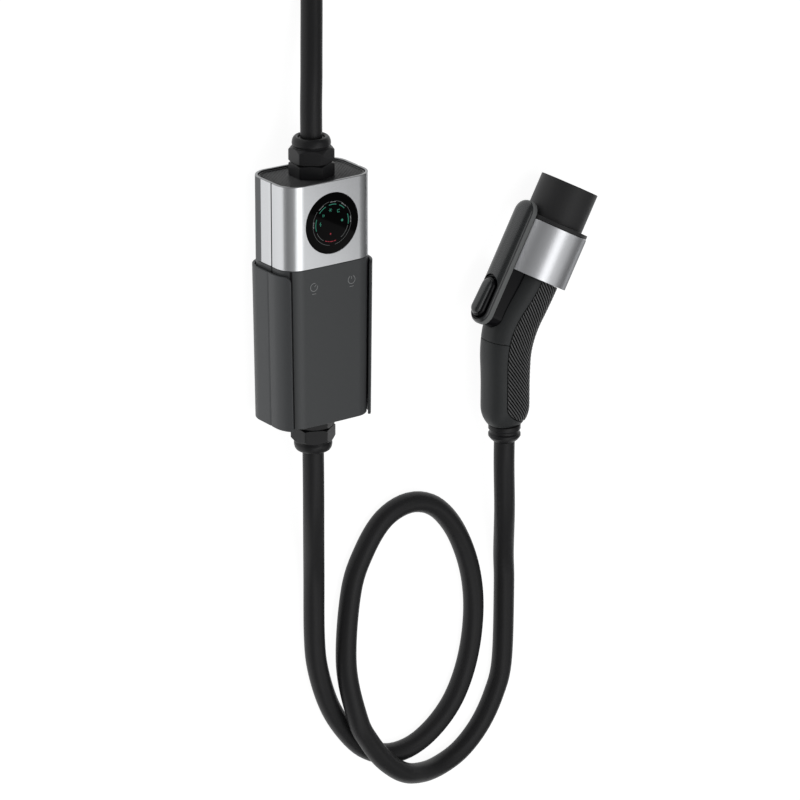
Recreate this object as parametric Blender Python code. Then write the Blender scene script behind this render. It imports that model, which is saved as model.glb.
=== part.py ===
"""In-line EV charger: control box in its cradle, supply lead, vehicle cable and latched handle.

Everything is in metres. The charger lies on the plane z = 0, with the origin at the centre of the cradle's
flat back. The control box is modelled upright (x across, -y to the front, z along it) under box_frame, which
lays it on its back. The handle is modelled under handle_frame: y along its nose, -x towards the latch, z up.
"""

import math

import bmesh
import bpy
from mathutils import Matrix, Vector

MM = 0.001

# Clearances
TOUCH = 0.3 * MM
MERGE = 0.01 * MM
CUT_PAST = 5.0 * MM
FLANGE_CUT_PAST = 3.0 * MM

# Control box
BOX_WIDTH = 74.0 * MM
BOX_DEPTH = 51.0 * MM
BOX_CORNER = 14.5 * MM
LOWER_LENGTH = 116.5 * MM
SLEEVE_WALL = 2.0 * MM
SLEEVE_EDGE = 0.4 * MM
SIDE_DRAFT = 1.5 * MM
SIDE_GROOVE_WIDTH = 1.4 * MM
SIDE_GROOVE_DEPTH = 0.8 * MM
CORNER_STEPS = 6
FRAME_WALL = 1.5 * MM
FRAME_REACH = 5.5 * MM

# End caps
CAP_THICKNESS = 3.0 * MM
CAP_RIM = 1.3 * MM
CAP_PANEL_DEPTH = 0.8 * MM
TOP_CAP_RECESS = 1.0 * MM
BOTTOM_CAP_RECESS = 1.0 * MM
SCREW_HEAD_RADIUS = 2.4 * MM
SCREW_HEAD_HEIGHT = 1.5 * MM
SCREW_SHANK_RADIUS = 1.3 * MM
SCREW_LENGTH = 7.0 * MM
SCREW_EDGE = 7.0 * MM

# Dial
DIAL_SIDE_GAP = 15.1 * MM
DIAL_TOP_GAP = 8.5 * MM
DIAL_BOTTOM_GAP = 8.4 * MM
DIAL_RECESS = 0.25 * MM
WINDOW_THICKNESS = 1.6 * MM
BEZEL_REACH = 2.2 * MM
BEZEL_SEAT = 3.4 * MM
BEZEL_THICKNESS = 1.4 * MM
MODULE_INSET = 1.9 * MM
MODULE_THICKNESS = 4.0 * MM

# Electronics
BOARD_THICKNESS = 1.6 * MM
BOARD_START = 13.0 * MM
BOARD_SIDE_GAP = 7.0 * MM
BOARD_END_GAP = 13.7 * MM
BRACKET_DEPTH = 4.5 * MM
BRACKET_BAR = 5.0 * MM
RELAY_SIZE = (15.0 * MM, 17.0 * MM, 28.0 * MM)
RELAY_SPACING = 24.0 * MM
RELAY_HEIGHT = 66.0 * MM
POWER_SIZE = (34.0 * MM, 16.0 * MM, 24.0 * MM)
POWER_HEIGHT = 96.0 * MM
SENSOR_RADIUS = 11.0 * MM
SENSOR_BORE = 5.5 * MM
SENSOR_LENGTH = 9.0 * MM
SENSOR_HEIGHT = 40.0 * MM
TERMINAL_SIZE = (40.0 * MM, 11.0 * MM, 10.0 * MM)
TERMINAL_INSET = 11.0 * MM

# Cradle
CRADLE_LENGTH = 114.0 * MM
CRADLE_BELOW = 1.0 * MM
CRADLE_WALL = 2.0 * MM
CRADLE_SIDE_GAP = 1.0 * MM
CRADLE_WRAP = math.radians(49)
CRADLE_LIP_RADIUS = 4.0 * MM
CRADLE_GROOVE_DEPTH = 0.5 * MM

# Cable glands
GLAND_FLATS = 28.0 * MM
GLAND_TURN = math.radians(-5)
GLAND_BASE = 9.5 * MM
GLAND_GROOVE = 0.6 * MM
GLAND_HEX = 10.4 * MM
GLAND_LENGTH = 29.6 * MM
GLAND_DOME_RADIUS = 13.7 * MM
GLAND_THREAD = 10.0 * MM
GLAND_WALL = 2.0 * MM
SEAL_RADIUS = 8.9 * MM
SEAL_BORE = 5.5 * MM
SEAL_LENGTH = 7.0 * MM
LOCKNUT_LENGTH = 4.0 * MM

# Cables
CABLE_DIAMETER = 15.4 * MM
CABLE_SIDES = 3
SUPPLY_POINTS = 16
VEHICLE_POINTS = 50

# Plug
PLUG_WIDTH = 34.0 * MM
PLUG_HEIGHT = 28.0 * MM
PLUG_LENGTH = 38.0 * MM
PLUG_CORNER = 9.0 * MM
PLUG_EDGE = 1.2 * MM
PLUG_REAR_NARROWING = (6.0 * MM, 4.0 * MM)
PLUG_SHOULDER_NARROWING = (2.0 * MM, 1.0 * MM)
PLUG_SHOULDER = 5.0 * MM
PLUG_TAPER = 14.0 * MM
BOOT_LENGTH = 26.0 * MM
BOOT_RADIUS = 11.5 * MM
BOOT_WALL = 0.8 * MM
BOOT_STEP = 1.0 * MM
BLADE_SIZE = (1.5 * MM, 6.3 * MM, 18.0 * MM)
BLADE_SPACING = 12.7 * MM
BLADE_SEAT = 5.0 * MM
GROUND_PIN_RADIUS = 2.4 * MM
GROUND_PIN_EDGE = 0.7 * MM
GROUND_PIN_LENGTH = 21.0 * MM
GROUND_PIN_DROP = 11.9 * MM
PLUG_PIN_SHIFT = 4.0 * MM

# Handle placing
HANDLE_PLACE = (190.5 * MM, 9.3 * MM)
HANDLE_TURN = math.radians(28.8)

# Nose and collar
NOSE_RADIUS = 21.9 * MM
NOSE_WALL = 2.6 * MM
NOSE_LENGTH = 72.4 * MM
COLLAR_RADIUS = 27.15 * MM
COLLAR_WALL = 2.0 * MM
COLLAR_LENGTH = 39.5 * MM
FLANGE_THICKNESS = 2.8 * MM
NOSE_RECESS = 8.0 * MM
CARRIER_REAR = 20.0 * MM
CONTACT_REAR = 24.0 * MM
CONTACT_SINK = 1.0 * MM
SHROUD_SEAT = 6.0 * MM
POWER_CONTACT = (3.0 * MM, 1.85 * MM)
GROUND_CONTACT = (2.5 * MM, 1.45 * MM)
SIGNAL_CONTACT = (1.6 * MM, 0.85 * MM)
POWER_PLACE = (6.0 * MM, 7.9 * MM)
GROUND_PLACE = -10.2 * MM
SIGNAL_PLACE = (-5.3 * MM, 10.6 * MM)
CONTACT_BORE_DEPTH = 25.0 * MM
BUNDLE_RADIUS = 5.0 * MM

# Grip
NECK_STRAIGHT = 25.0 * MM
BEND_RADIUS = 80.0 * MM
GRIP_STRAIGHT = 48.6 * MM
SEAM_AT = 50.0 * MM
NECK_BACK = 21.5 * MM
NECK_FRONT = 14.5 * MM
NECK_HALF_THICKNESS = 18.0 * MM
GRIP_HALF_WIDTH = 17.5 * MM
GRIP_HALF_THICKNESS = 15.4 * MM
GRIP_EASE = 85.0 * MM
NECK_EASE = 48.0 * MM
GRIP_POWER = 2.4
TAIL_ROUND = 14.0 * MM
TAIL_RATIO = 0.7
HOUSING_WALL = 4.4 * MM
HOUSING_FLOOR = 2.4 * MM
SPIGOT_LENGTH = 8.0 * MM
SPIGOT_WALL = 4.4 * MM
TAIL_HOLE = 7.5 * MM
STATIONS = 8
UNDER_STEPS = 14
GRIP_SIDES = 28
TIP_STEPS = 6

# Ribbed insert
INSERT_THICKNESS = 1.7 * MM
INSERT_SINK = 0.3 * MM
INSERT_SPAN_NECK = math.radians(97)
INSERT_SPAN_GRIP = math.radians(118)
INSERT_SPAN_EASE = 50.0 * MM
INSERT_END = 1.5 * MM
INSERT_TIP = 15.0 * MM
INSERT_GAP = 0.6 * MM
RIB_PITCH = 2.15 * MM
RIB_HEIGHT = 0.8 * MM
RIB_SLOPE = 0.51
RIB_RADIUS = 16.5 * MM
RIB_STEPS = 2

# Tail ring and clamp
TAIL_RING_RADIUS = 11.9 * MM
TAIL_RING_WAIST = 10.8 * MM
TAIL_RING_LENGTH = 13.2 * MM
TAIL_RING_BORE = 5.5 * MM
TAIL_EDGE = 0.8 * MM
TAIL_FLANGE_END = 3.6 * MM
TAIL_WAIST_END = 6.6 * MM
TAIL_RIM_END = 9.2 * MM
TAIL_SHOULDER_END = 11.3 * MM
TAIL_SHOULDER = 1.2 * MM
TAIL_LIP = 0.5 * MM
TAIL_LEAD = 20.0 * MM
CLAMP_RADIUS = 8.0 * MM
CLAMP_LENGTH = 8.0 * MM

# Latch
COVER_REAR = -46.2 * MM
COVER_FRONT = 49.8 * MM
COVER_HALF_WIDTH = 9.7 * MM
COVER_BOTTOM = 25.15 * MM
COVER_BAND = 4.1 * MM
COVER_TOP = 33.8 * MM
COVER_DOME = 6.0 * MM
COVER_CREASE = 0.5 * MM
COVER_WALL = 1.8 * MM
BASE_HALF_WIDTH = 9.3 * MM
BASE_REAR = -45.5 * MM
BASE_BOTTOM = 10.0 * MM
BASE_WALL = 1.8 * MM
BASE_FLOOR = 2.0 * MM
BUTTON_REAR = -41.7 * MM
BUTTON_FRONT = -11.9 * MM
BUTTON_HALF_WIDTH = 6.3 * MM
BUTTON_PROUD = 4.0 * MM
BUTTON_FRONT_PROUD = 1.6 * MM
BUTTON_CLEARANCE = 0.9 * MM
ARM_HALF_WIDTH = 3.6 * MM
ARM_REAR = -39.0 * MM
ARM_BOTTOM = 26.2 * MM
ARM_TOP = 29.4 * MM
ARM_TIP_TOP = 28.2 * MM
HOOK_FRONT = 45.4 * MM
HOOK_THICKNESS = 2.0 * MM
HOOK_BOTTOM = 22.5 * MM
PIVOT_ALONG = 10.0 * MM
PIVOT_HEIGHT = 28.4 * MM
PIVOT_BOSS = 2.6 * MM
PIN_RADIUS = 1.2 * MM
SPRING_ALONG = -27.0 * MM
SPRING_RADIUS = 2.6 * MM
SPRING_WIRE = 0.35 * MM
SPRING_TURNS = 6
SPRING_LENGTH = 10.6 * MM
SWITCH_SIZE = (5.0 * MM, 11.0 * MM, 6.5 * MM)
SWITCH_ALONG = -12.0 * MM

# Places worked out from the sizes above
DIAL_DIAMETER = BOX_WIDTH - 2 * DIAL_SIDE_GAP
DIAL_BELOW_TOP = DIAL_TOP_GAP + DIAL_DIAMETER / 2
UPPER_LENGTH = DIAL_TOP_GAP + DIAL_DIAMETER + DIAL_BOTTOM_GAP
BOX_LENGTH = LOWER_LENGTH + TOUCH + UPPER_LENGTH
BOX_AXIS_HEIGHT = CRADLE_WALL + TOUCH + BOX_DEPTH / 2
BOX_BOTTOM = CRADLE_BELOW - CRADLE_LENGTH / 2
TOP_CAP_FACE = BOX_LENGTH - TOP_CAP_RECESS - CAP_PANEL_DEPTH
BOTTOM_CAP_FACE = BOTTOM_CAP_RECESS
DIAL_HEIGHT = BOX_LENGTH - DIAL_BELOW_TOP
BEZEL_BORE = DIAL_DIAMETER / 2 - BEZEL_SEAT
MODULE_RADIUS = DIAL_DIAMETER / 2 - MODULE_INSET
BOARD_BACK = BOX_DEPTH / 2 - SLEEVE_WALL - TOUCH - BRACKET_DEPTH - TOUCH
BOARD_FRONT = BOARD_BACK - BOARD_THICKNESS
BOARD_WIDTH = BOX_WIDTH - 2 * (SLEEVE_WALL + BOARD_SIDE_GAP)
BOARD_LENGTH = TOP_CAP_FACE - CAP_THICKNESS - BOARD_END_GAP - BOARD_START
LOWER_TERMINAL_HEIGHT = BOARD_START + TERMINAL_INSET
UPPER_TERMINAL_HEIGHT = BOARD_START + BOARD_LENGTH - TERMINAL_INSET
GLAND_END = GLAND_LENGTH + TOUCH
SUPPLY_EXIT = BOX_BOTTOM + TOP_CAP_FACE + GLAND_END + TOUCH
VEHICLE_EXIT = BOX_BOTTOM + BOTTOM_CAP_FACE - GLAND_END - TOUCH
BARREL_RADIUS = COLLAR_RADIUS - COLLAR_WALL - TOUCH
FLANGE_START = COLLAR_LENGTH + TOUCH
NOSE_BORE = NOSE_RADIUS - NOSE_WALL
SLOT_HALF_WIDTH = COVER_HALF_WIDTH + TOUCH
SLOT_FLOOR = COVER_BOTTOM - TOUCH
GRIP_LENGTH = NECK_STRAIGHT + BEND_RADIUS * HANDLE_TURN + GRIP_STRAIGHT
HANDLE_HEIGHT = COLLAR_RADIUS
TIP_START = GRIP_LENGTH - INSERT_END - INSERT_TIP
RECESS_DEPTH = INSERT_THICKNESS + INSERT_SINK + 2 * TOUCH
SPIGOT_RADIUS = NECK_FRONT - TOUCH
PLUG_AXIS_HEIGHT = PLUG_HEIGHT / 2

# The supply cord's route: out of the top gland, down onto the table and on to the plug
SUPPLY_ROUTE = [
    (0.0, SUPPLY_EXIT, BOX_AXIS_HEIGHT),
    (0.0, 0.170, BOX_AXIS_HEIGHT),
    (0.0015, 0.190, 0.0262),
    (0.0050, 0.210, 0.0212),
    (0.0094, 0.230, 0.0150),
    (0.0130, 0.250, 0.0098),
    (0.0145, 0.270, 0.0079),
    (0.0149, 0.290, 0.0078),
    (0.0150, 0.307, 0.0078),
    (0.0150, 0.324, 0.0078),
    (0.0150, 0.344, 0.0078),
    (0.0150, 0.364, 0.0081),
    (0.0150, 0.384, 0.0092),
    (0.0150, 0.404, 0.0113),
    (0.0150, 0.424, 0.0134),
    (0.0150, 0.438, PLUG_AXIS_HEIGHT),
    (0.0150, 0.448, PLUG_AXIS_HEIGHT),
]

# The vehicle cord's route: out of the bottom gland, one full loop over itself and up to the handle's tail
VEHICLE_ROUTE = [
    (0.0, VEHICLE_EXIT, BOX_AXIS_HEIGHT),
    (0.0001, -0.108, BOX_AXIS_HEIGHT),
    (0.0012, -0.130, 0.0261),
    (0.0042, -0.150, 0.0215),
    (0.0115, -0.190, 0.0105),
    (0.0131, -0.237, 0.0081),
    (0.0160, -0.264, 0.0078),
    (0.0252, -0.294, 0.0078),
    (0.0385, -0.3175, 0.0078),
    (0.0555, -0.337, 0.0078),
    (0.0760, -0.3478, 0.0078),
    (0.0975, -0.3480, 0.0078),
    (0.1180, -0.3385, 0.0078),
    (0.1360, -0.3210, 0.0078),
    (0.1480, -0.2970, 0.0078),
    (0.1545, -0.2680, 0.0078),
    (0.1552, -0.2370, 0.0078),
    (0.1490, -0.2070, 0.0078),
    (0.1358, -0.1785, 0.0078),
    (0.1180, -0.1592, 0.0078),
    (0.0965, -0.1528, 0.0078),
    (0.0745, -0.1604, 0.0078),
    (0.0572, -0.1815, 0.0080),
    (0.0450, -0.2110, 0.0086),
    (0.0364, -0.2640, 0.0150),
    (0.0408, -0.3055, 0.0234),
    (0.0505, -0.3255, 0.0240),
    (0.0640, -0.3440, 0.0240),
    (0.0820, -0.3590, 0.0222),
    (0.1020, -0.3670, 0.0160),
    (0.1230, -0.3690, 0.0100),
    (0.1440, -0.3620, 0.0082),
    (0.1620, -0.3460, 0.0078),
    (0.1750, -0.3240, 0.0078),
    (0.1823, -0.2980, 0.0078),
    (0.1836, -0.2380, 0.0080),
    (0.1811, -0.2100, 0.0104),
    (0.1727, -0.1700, 0.0226),
]


def clear_scene():
    for item in list(bpy.data.objects):
        bpy.data.objects.remove(item)


def material(name, colour, roughness, metallic=0.0):
    """One Principled finish for one piece."""
    made = bpy.data.materials.new(name)
    made.use_nodes = True
    shader = made.node_tree.nodes["Principled BSDF"]
    shader.inputs["Base Color"].default_value = (*colour, 1.0)
    shader.inputs["Roughness"].default_value = roughness
    shader.inputs["Metallic"].default_value = metallic
    return made


BRUSHED = ((0.62, 0.63, 0.65), 0.28, 1.0)
CHARCOAL = ((0.075, 0.079, 0.082), 0.42, 0.35)
BLACK = ((0.018, 0.018, 0.019), 0.45, 0.0)
GLOSS = ((0.010, 0.010, 0.011), 0.16, 0.0)
RUBBER = ((0.020, 0.020, 0.021), 0.62, 0.0)
CABLE = ((0.024, 0.024, 0.025), 0.48, 0.0)
STEEL = ((0.55, 0.55, 0.56), 0.30, 1.0)
SILVER = ((0.80, 0.80, 0.78), 0.22, 1.0)
BRASS = ((0.75, 0.60, 0.28), 0.30, 1.0)
BOARD = ((0.02, 0.16, 0.07), 0.50, 0.0)
WHITE = ((0.72, 0.72, 0.70), 0.50, 0.0)
BLUE = ((0.05, 0.12, 0.35), 0.45, 0.0)


def empty(name, location=(0, 0, 0), rotation=(0, 0, 0), parent=None):
    """A frame that places what is parented to it."""
    frame = bpy.data.objects.new(name, None)
    frame.location = location
    frame.rotation_euler = rotation
    frame.parent = parent
    bpy.context.collection.objects.link(frame)
    return frame


def piece(name, mesh, frame, finish):
    """A named object from a bmesh, with its own material, parented to its frame."""
    data = bpy.data.meshes.new(name)
    mesh.to_mesh(data)
    mesh.free()
    data.shade_smooth()
    data.set_sharp_from_angle(angle=math.radians(32))
    data.materials.append(material(name, *finish))
    made = bpy.data.objects.new(name, data)
    made.parent = frame
    bpy.context.collection.objects.link(made)
    return made


def bevel(target, width, segments=2):
    """Rounded edges on a piece whose faces meet at a clear angle."""
    edge = target.modifiers.new("rounded_edges", "BEVEL")
    edge.width = width
    edge.segments = segments
    edge.limit_method = "ANGLE"
    edge.angle_limit = math.radians(40)


def cut(target, mesh):
    """Take a closed mesh, given in the target's own coordinates, out of the target."""
    cutter = piece(target.name + "_cutter", mesh, target.parent, BLACK)
    cutter.hide_render = True
    cutter.display_type = "WIRE"
    hole = target.modifiers.new("cut", "BOOLEAN")
    hole.operation = "DIFFERENCE"
    hole.solver = "EXACT"
    hole.object = cutter


def loft(rings, closed=False):
    """A mesh through rings of points: a closed one joins its last ring to its first, an open one has caps."""
    mesh = bmesh.new()
    loops = [[mesh.verts.new(point) for point in ring] for ring in rings]
    pairs = list(zip(loops, loops[1:]))
    if closed:
        pairs.append((loops[-1], loops[0]))
    for low, high in pairs:
        for i in range(len(low)):
            j = (i + 1) % len(low)
            mesh.faces.new((low[i], low[j], high[j], high[i]))
    if not closed:
        mesh.faces.new(list(reversed(loops[0])))
        mesh.faces.new(loops[-1])
    bmesh.ops.remove_doubles(mesh, verts=mesh.verts, dist=MERGE)
    bmesh.ops.recalc_face_normals(mesh, faces=mesh.faces)
    return mesh


def circle(radius, height, sides=48):
    turn = [2 * math.pi * k / sides for k in range(sides)]
    return [Vector((radius * math.cos(t), radius * math.sin(t), height)) for t in turn]


def turned(profile, closed=True, sides=24):
    """A turned piece from (radius, height) pairs: closed round a bore, or open with flat ends."""
    return loft([circle(radius, height, sides) for radius, height in profile], closed)


def block(size, centre):
    mesh = bmesh.new()
    place = Matrix.Translation(centre) @ Matrix.Diagonal((*size, 1.0))
    bmesh.ops.create_cube(mesh, size=1.0, matrix=place)
    return mesh


def rod(radius, start, end, sides=20):
    """A plain cylinder between two points."""
    start, end = Vector(start), Vector(end)
    along = end - start
    turn = Vector((0, 0, 1)).rotation_difference(along).to_matrix().to_4x4()
    place = Matrix.Translation((start + end) / 2) @ turn
    mesh = bmesh.new()
    bmesh.ops.create_cone(
        mesh, cap_ends=True, segments=sides, radius1=radius, radius2=radius, depth=along.length, matrix=place
    )
    return mesh


def joined(meshes):
    """Several cutting solids as one mesh."""
    whole = bmesh.new()
    for mesh in meshes:
        data = bpy.data.meshes.new("part_of_a_group")
        mesh.to_mesh(data)
        mesh.free()
        whole.from_mesh(data)
        bpy.data.meshes.remove(data)
    return whole


def ease(share):
    """From 0 to 1 with level ends."""
    share = min(max(share, 0.0), 1.0)
    return share * share * (3 - 2 * share)


def stations(start, end, count):
    """Evenly spaced values from start to end."""
    return [start + (end - start) * k / (count - 1) for k in range(count)]


def smooth_route(points, count):
    """Points at even steps along a smooth curve through a route's points."""
    route = [Vector(p) for p in points]
    route = [2 * route[0] - route[1], *route, 2 * route[-1] - route[-2]]
    fine = []
    for a, b, c, d in zip(route, route[1:], route[2:], route[3:]):
        for k in range(12):
            t = k / 12
            fine.append(
                0.5
                * (2 * b + (c - a) * t + (2 * a - 5 * b + 4 * c - d) * t**2 + (3 * b - a - 3 * c + d) * t**3)
            )
    fine.append(route[-2])
    reach = [0.0]
    for a, b in zip(fine, fine[1:]):
        reach.append(reach[-1] + (b - a).length)
    spaced = []
    at = 0
    for k in range(count):
        want = reach[-1] * k / (count - 1)
        while at < len(reach) - 2 and reach[at + 1] < want:
            at += 1
        share = (want - reach[at]) / (reach[at + 1] - reach[at])
        spaced.append(fine[at].lerp(fine[at + 1], share))
    return spaced


def tube(name, lines, radius, frame, finish, sides=4):
    """Closed round tubes along lines of points, as one curve object."""
    data = bpy.data.curves.new(name, "CURVE")
    data.dimensions = "3D"
    data.bevel_depth = radius
    data.bevel_resolution = sides
    data.use_fill_caps = True
    for line in lines:
        spline = data.splines.new("POLY")
        spline.points.add(len(line) - 1)
        for point, place in zip(spline.points, line):
            point.co = (*place, 1.0)
    data.materials.append(material(name, *finish))
    made = bpy.data.objects.new(name, data)
    made.parent = frame
    bpy.context.collection.objects.link(made)
    return made


def box_outline(inset, groove=0.0):
    """The box's section, `inset` inside its faces, with a V groove of that depth down each side."""
    half_width = BOX_WIDTH / 2 - inset
    half_depth = BOX_DEPTH / 2 - inset
    radius = BOX_CORNER - inset
    outline = []
    for side in (1, -1):
        outline.append((side * half_width, -side * SIDE_GROOVE_WIDTH / 2))
        outline.append((side * (half_width - groove), 0.0))
        outline.append((side * half_width, side * SIDE_GROOVE_WIDTH / 2))
        for start in (0, math.pi / 2):
            middle_x = side * (half_width - radius) * (1 if start == 0 else -1)
            middle_y = side * (half_depth - radius)
            for k in range(CORNER_STEPS + 1):
                turn = start + math.pi / 2 * k / CORNER_STEPS
                x = middle_x + side * radius * math.cos(turn)
                y = middle_y + side * radius * math.sin(turn)
                outline.append((x, y))
    return outline


def draft(height):
    """How the box and its cradle narrow towards the bottom, as a factor on x."""
    share = max(0.0, 1 - height / LOWER_LENGTH)
    return 1 - SIDE_DRAFT / (BOX_WIDTH / 2) * share


def box_ring(inset, height, groove=0.0):
    factor = draft(height)
    return [Vector((x * factor, y, height)) for x, y in box_outline(inset, groove)]


def sleeve(bottom, top):
    groove = SIDE_GROOVE_DEPTH
    edge = SLEEVE_EDGE
    return loft(
        [
            box_ring(edge / 2, bottom, groove),
            box_ring(0, bottom + edge / 2, groove),
            box_ring(0, top - edge, groove),
            box_ring(edge, top, groove - edge / 2),
            box_ring(SLEEVE_WALL, top),
            box_ring(SLEEVE_WALL, bottom),
        ],
        closed=True,
    )


def make_sleeves(frame):
    piece("lower_sleeve", sleeve(0.0, LOWER_LENGTH), frame, CHARCOAL)
    upper = piece("upper_sleeve", sleeve(LOWER_LENGTH + TOUCH, BOX_LENGTH), frame, BRUSHED)
    front = Vector((0, -BOX_DEPTH / 2, DIAL_HEIGHT))
    inward = Vector((0, 2 * SLEEVE_WALL, 0))
    cut(upper, rod(DIAL_DIAMETER / 2, front - inward, front + inward, 48))


def make_inner_frame(frame):
    outer = SLEEVE_WALL + TOUCH
    inner = outer + FRAME_WALL
    heights = (LOWER_LENGTH - FRAME_REACH, LOWER_LENGTH, LOWER_LENGTH + FRAME_REACH)
    rings = [box_ring(outer, h) for h in heights] + [box_ring(inner, h) for h in reversed(heights)]
    piece("inner_frame", loft(rings, closed=True), frame, BLACK)


def cap(face, inward):
    """A rimmed cap; face is its panel's height and inward the way into the box."""
    edge = SLEEVE_WALL + TOUCH
    rim = face - inward * CAP_PANEL_DEPTH
    back = face + inward * CAP_THICKNESS
    inner = edge + CAP_RIM
    return loft([box_ring(edge, back), box_ring(edge, rim), box_ring(inner, rim), box_ring(inner, face)])


def gland_hole(face):
    reach = 2 * CAP_THICKNESS
    return rod(GLAND_THREAD + 2 * TOUCH, (0, 0, face - reach), (0, 0, face + reach), 36)


def make_caps(frame):
    top = piece("top_cap", cap(TOP_CAP_FACE, -1), frame, BLACK)
    cut(top, gland_hole(TOP_CAP_FACE))
    bottom = piece("bottom_cap", cap(BOTTOM_CAP_FACE, 1), frame, BLACK)
    across = BOX_WIDTH / 2 - SLEEVE_WALL - SIDE_DRAFT - SCREW_EDGE
    deep = BOX_DEPTH / 2 - SLEEVE_WALL - SCREW_EDGE
    places = [(x, y) for x in (-across, across) for y in (-deep, deep)]
    head_top = BOTTOM_CAP_FACE - TOUCH
    head_face = head_top - SCREW_HEAD_HEIGHT
    holes = [gland_hole(BOTTOM_CAP_FACE)]
    for number, (x, y) in enumerate(places, 1):
        start = (x, y, BOTTOM_CAP_FACE - 1 * MM)
        holes.append(rod(SCREW_SHANK_RADIUS + TOUCH, start, (x, y, BOTTOM_CAP_FACE + 2 * CAP_THICKNESS), 12))
        screw = turned(
            [
                (SCREW_HEAD_RADIUS * 0.8, head_face),
                (SCREW_HEAD_RADIUS, head_face + 0.4 * MM),
                (SCREW_HEAD_RADIUS, head_top),
                (SCREW_SHANK_RADIUS, head_top),
                (SCREW_SHANK_RADIUS, head_top + SCREW_LENGTH),
            ],
            closed=False,
            sides=16,
        )
        bmesh.ops.translate(screw, verts=screw.verts, vec=(x, y, 0))
        piece(f"bottom_cap_screw_{number}", screw, frame, STEEL)
    cut(bottom, joined(holes))


def make_dial(frame):
    """Window, bezel and display, with z out of the box front."""
    radius = DIAL_DIAMETER / 2
    window_back = -DIAL_RECESS - WINDOW_THICKNESS
    bezel_front = -SLEEVE_WALL - TOUCH
    bezel_back = bezel_front - BEZEL_THICKNESS
    window = turned(
        [
            (BEZEL_BORE - TOUCH, bezel_back),
            (BEZEL_BORE - TOUCH, window_back),
            (radius - TOUCH, window_back),
            (radius - TOUCH, -DIAL_RECESS - TOUCH),
            (radius - 2 * TOUCH, -DIAL_RECESS),
        ],
        closed=False,
        sides=48,
    )
    piece("dial_window", window, frame, GLOSS)
    bezel = turned(
        [
            (radius + BEZEL_REACH, bezel_back),
            (radius + BEZEL_REACH, bezel_front),
            (BEZEL_BORE, bezel_front),
            (BEZEL_BORE, bezel_back),
        ],
        sides=36,
    )
    piece("dial_bezel", bezel, frame, BLACK)
    module_front = bezel_back - TOUCH
    module = turned(
        [(MODULE_RADIUS, module_front - MODULE_THICKNESS), (MODULE_RADIUS, module_front)], closed=False
    )
    piece("display_module", module, frame, BLACK)


def on_board(size, across, height):
    """A block that stands on the board's front face."""
    wide, tall, long = size
    return block((wide, tall, long), (across, BOARD_FRONT - TOUCH - tall / 2, height))


def make_board_bracket(frame):
    """A rectangular frame that holds the board off the back of the lower sleeve."""
    near = BOARD_BACK + TOUCH
    far = near + BRACKET_DEPTH
    bottom = BOARD_START + BRACKET_BAR
    top = LOWER_LENGTH - FRAME_REACH - BRACKET_BAR
    half = BOARD_WIDTH / 2 - BRACKET_BAR
    bar = BRACKET_BAR

    def ring(y, inset):
        x, low, high = half - inset, bottom + inset, top - inset
        return [Vector((-x, y, low)), Vector((x, y, low)), Vector((x, y, high)), Vector((-x, y, high))]

    bars = loft([ring(near, bar), ring(near, 0), ring(far, 0), ring(far, bar)], closed=True)
    piece("board_bracket", bars, frame, BLACK)


def make_electronics(frame):
    middle = BOARD_START + BOARD_LENGTH / 2
    centre = (0, BOARD_BACK - BOARD_THICKNESS / 2, middle)
    piece("main_board", block((BOARD_WIDTH, BOARD_THICKNESS, BOARD_LENGTH), centre), frame, BOARD)
    make_board_bracket(frame)
    for number, side in ((1, -1), (2, 1)):
        relay = on_board(RELAY_SIZE, side * RELAY_SPACING / 2, RELAY_HEIGHT)
        piece(f"relay_{number}", relay, frame, BLUE)
    piece("power_module", on_board(POWER_SIZE, 0, POWER_HEIGHT), frame, BLACK)
    lower = on_board(TERMINAL_SIZE, 0, LOWER_TERMINAL_HEIGHT)
    piece("vehicle_terminal_block", lower, frame, WHITE)
    upper = on_board(TERMINAL_SIZE, 0, UPPER_TERMINAL_HEIGHT)
    piece("supply_terminal_block", upper, frame, WHITE)
    half = SENSOR_LENGTH / 2
    sensor = turned(
        [(SENSOR_RADIUS, -half), (SENSOR_RADIUS, half), (SENSOR_BORE, half), (SENSOR_BORE, -half)]
    )
    place = (0, BOARD_FRONT - TOUCH - SENSOR_RADIUS, SENSOR_HEIGHT)
    bmesh.ops.translate(sensor, verts=sensor.verts, vec=place)
    piece("leakage_sensor", sensor, frame, BLACK)


def cradle_line(offset):
    """The cradle's path in plan from its right lip round the back to its left one, at an offset from the
    box's clearance surface: (x, y, distance from the nearer lip)."""
    radius = BOX_CORNER + CRADLE_SIDE_GAP
    half_width = BOX_WIDTH / 2 + CRADLE_SIDE_GAP
    front = BOX_DEPTH / 2 + CRADLE_SIDE_GAP - radius
    back = BOX_DEPTH / 2 + TOUCH - radius
    grown = radius + offset
    half = []
    for k in range(CORNER_STEPS + 1):
        turn = -CRADLE_WRAP * (1 - k / CORNER_STEPS)
        distance = (CRADLE_WRAP + turn) * radius
        half.append((half_width - radius + grown * math.cos(turn), grown * math.sin(turn) - front, distance))
    at_side = CRADLE_WRAP * radius
    groove = CRADLE_GROOVE_DEPTH if offset else 0.0
    for y in (-SIDE_GROOVE_WIDTH, -SIDE_GROOVE_WIDTH / 4, SIDE_GROOVE_WIDTH / 4, SIDE_GROOVE_WIDTH):
        deep = groove if abs(y) < SIDE_GROOVE_WIDTH / 2 else 0.0
        half.append((half_width + offset - deep, y, at_side + front + y))
    for k in range(CORNER_STEPS + 1):
        turn = math.pi / 2 * k / CORNER_STEPS
        x = half_width - radius + grown * math.cos(turn)
        half.append((x, back + grown * math.sin(turn), at_side + front + back))
    return half + [(-x, y, distance) for x, y, distance in reversed(half)]


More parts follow.
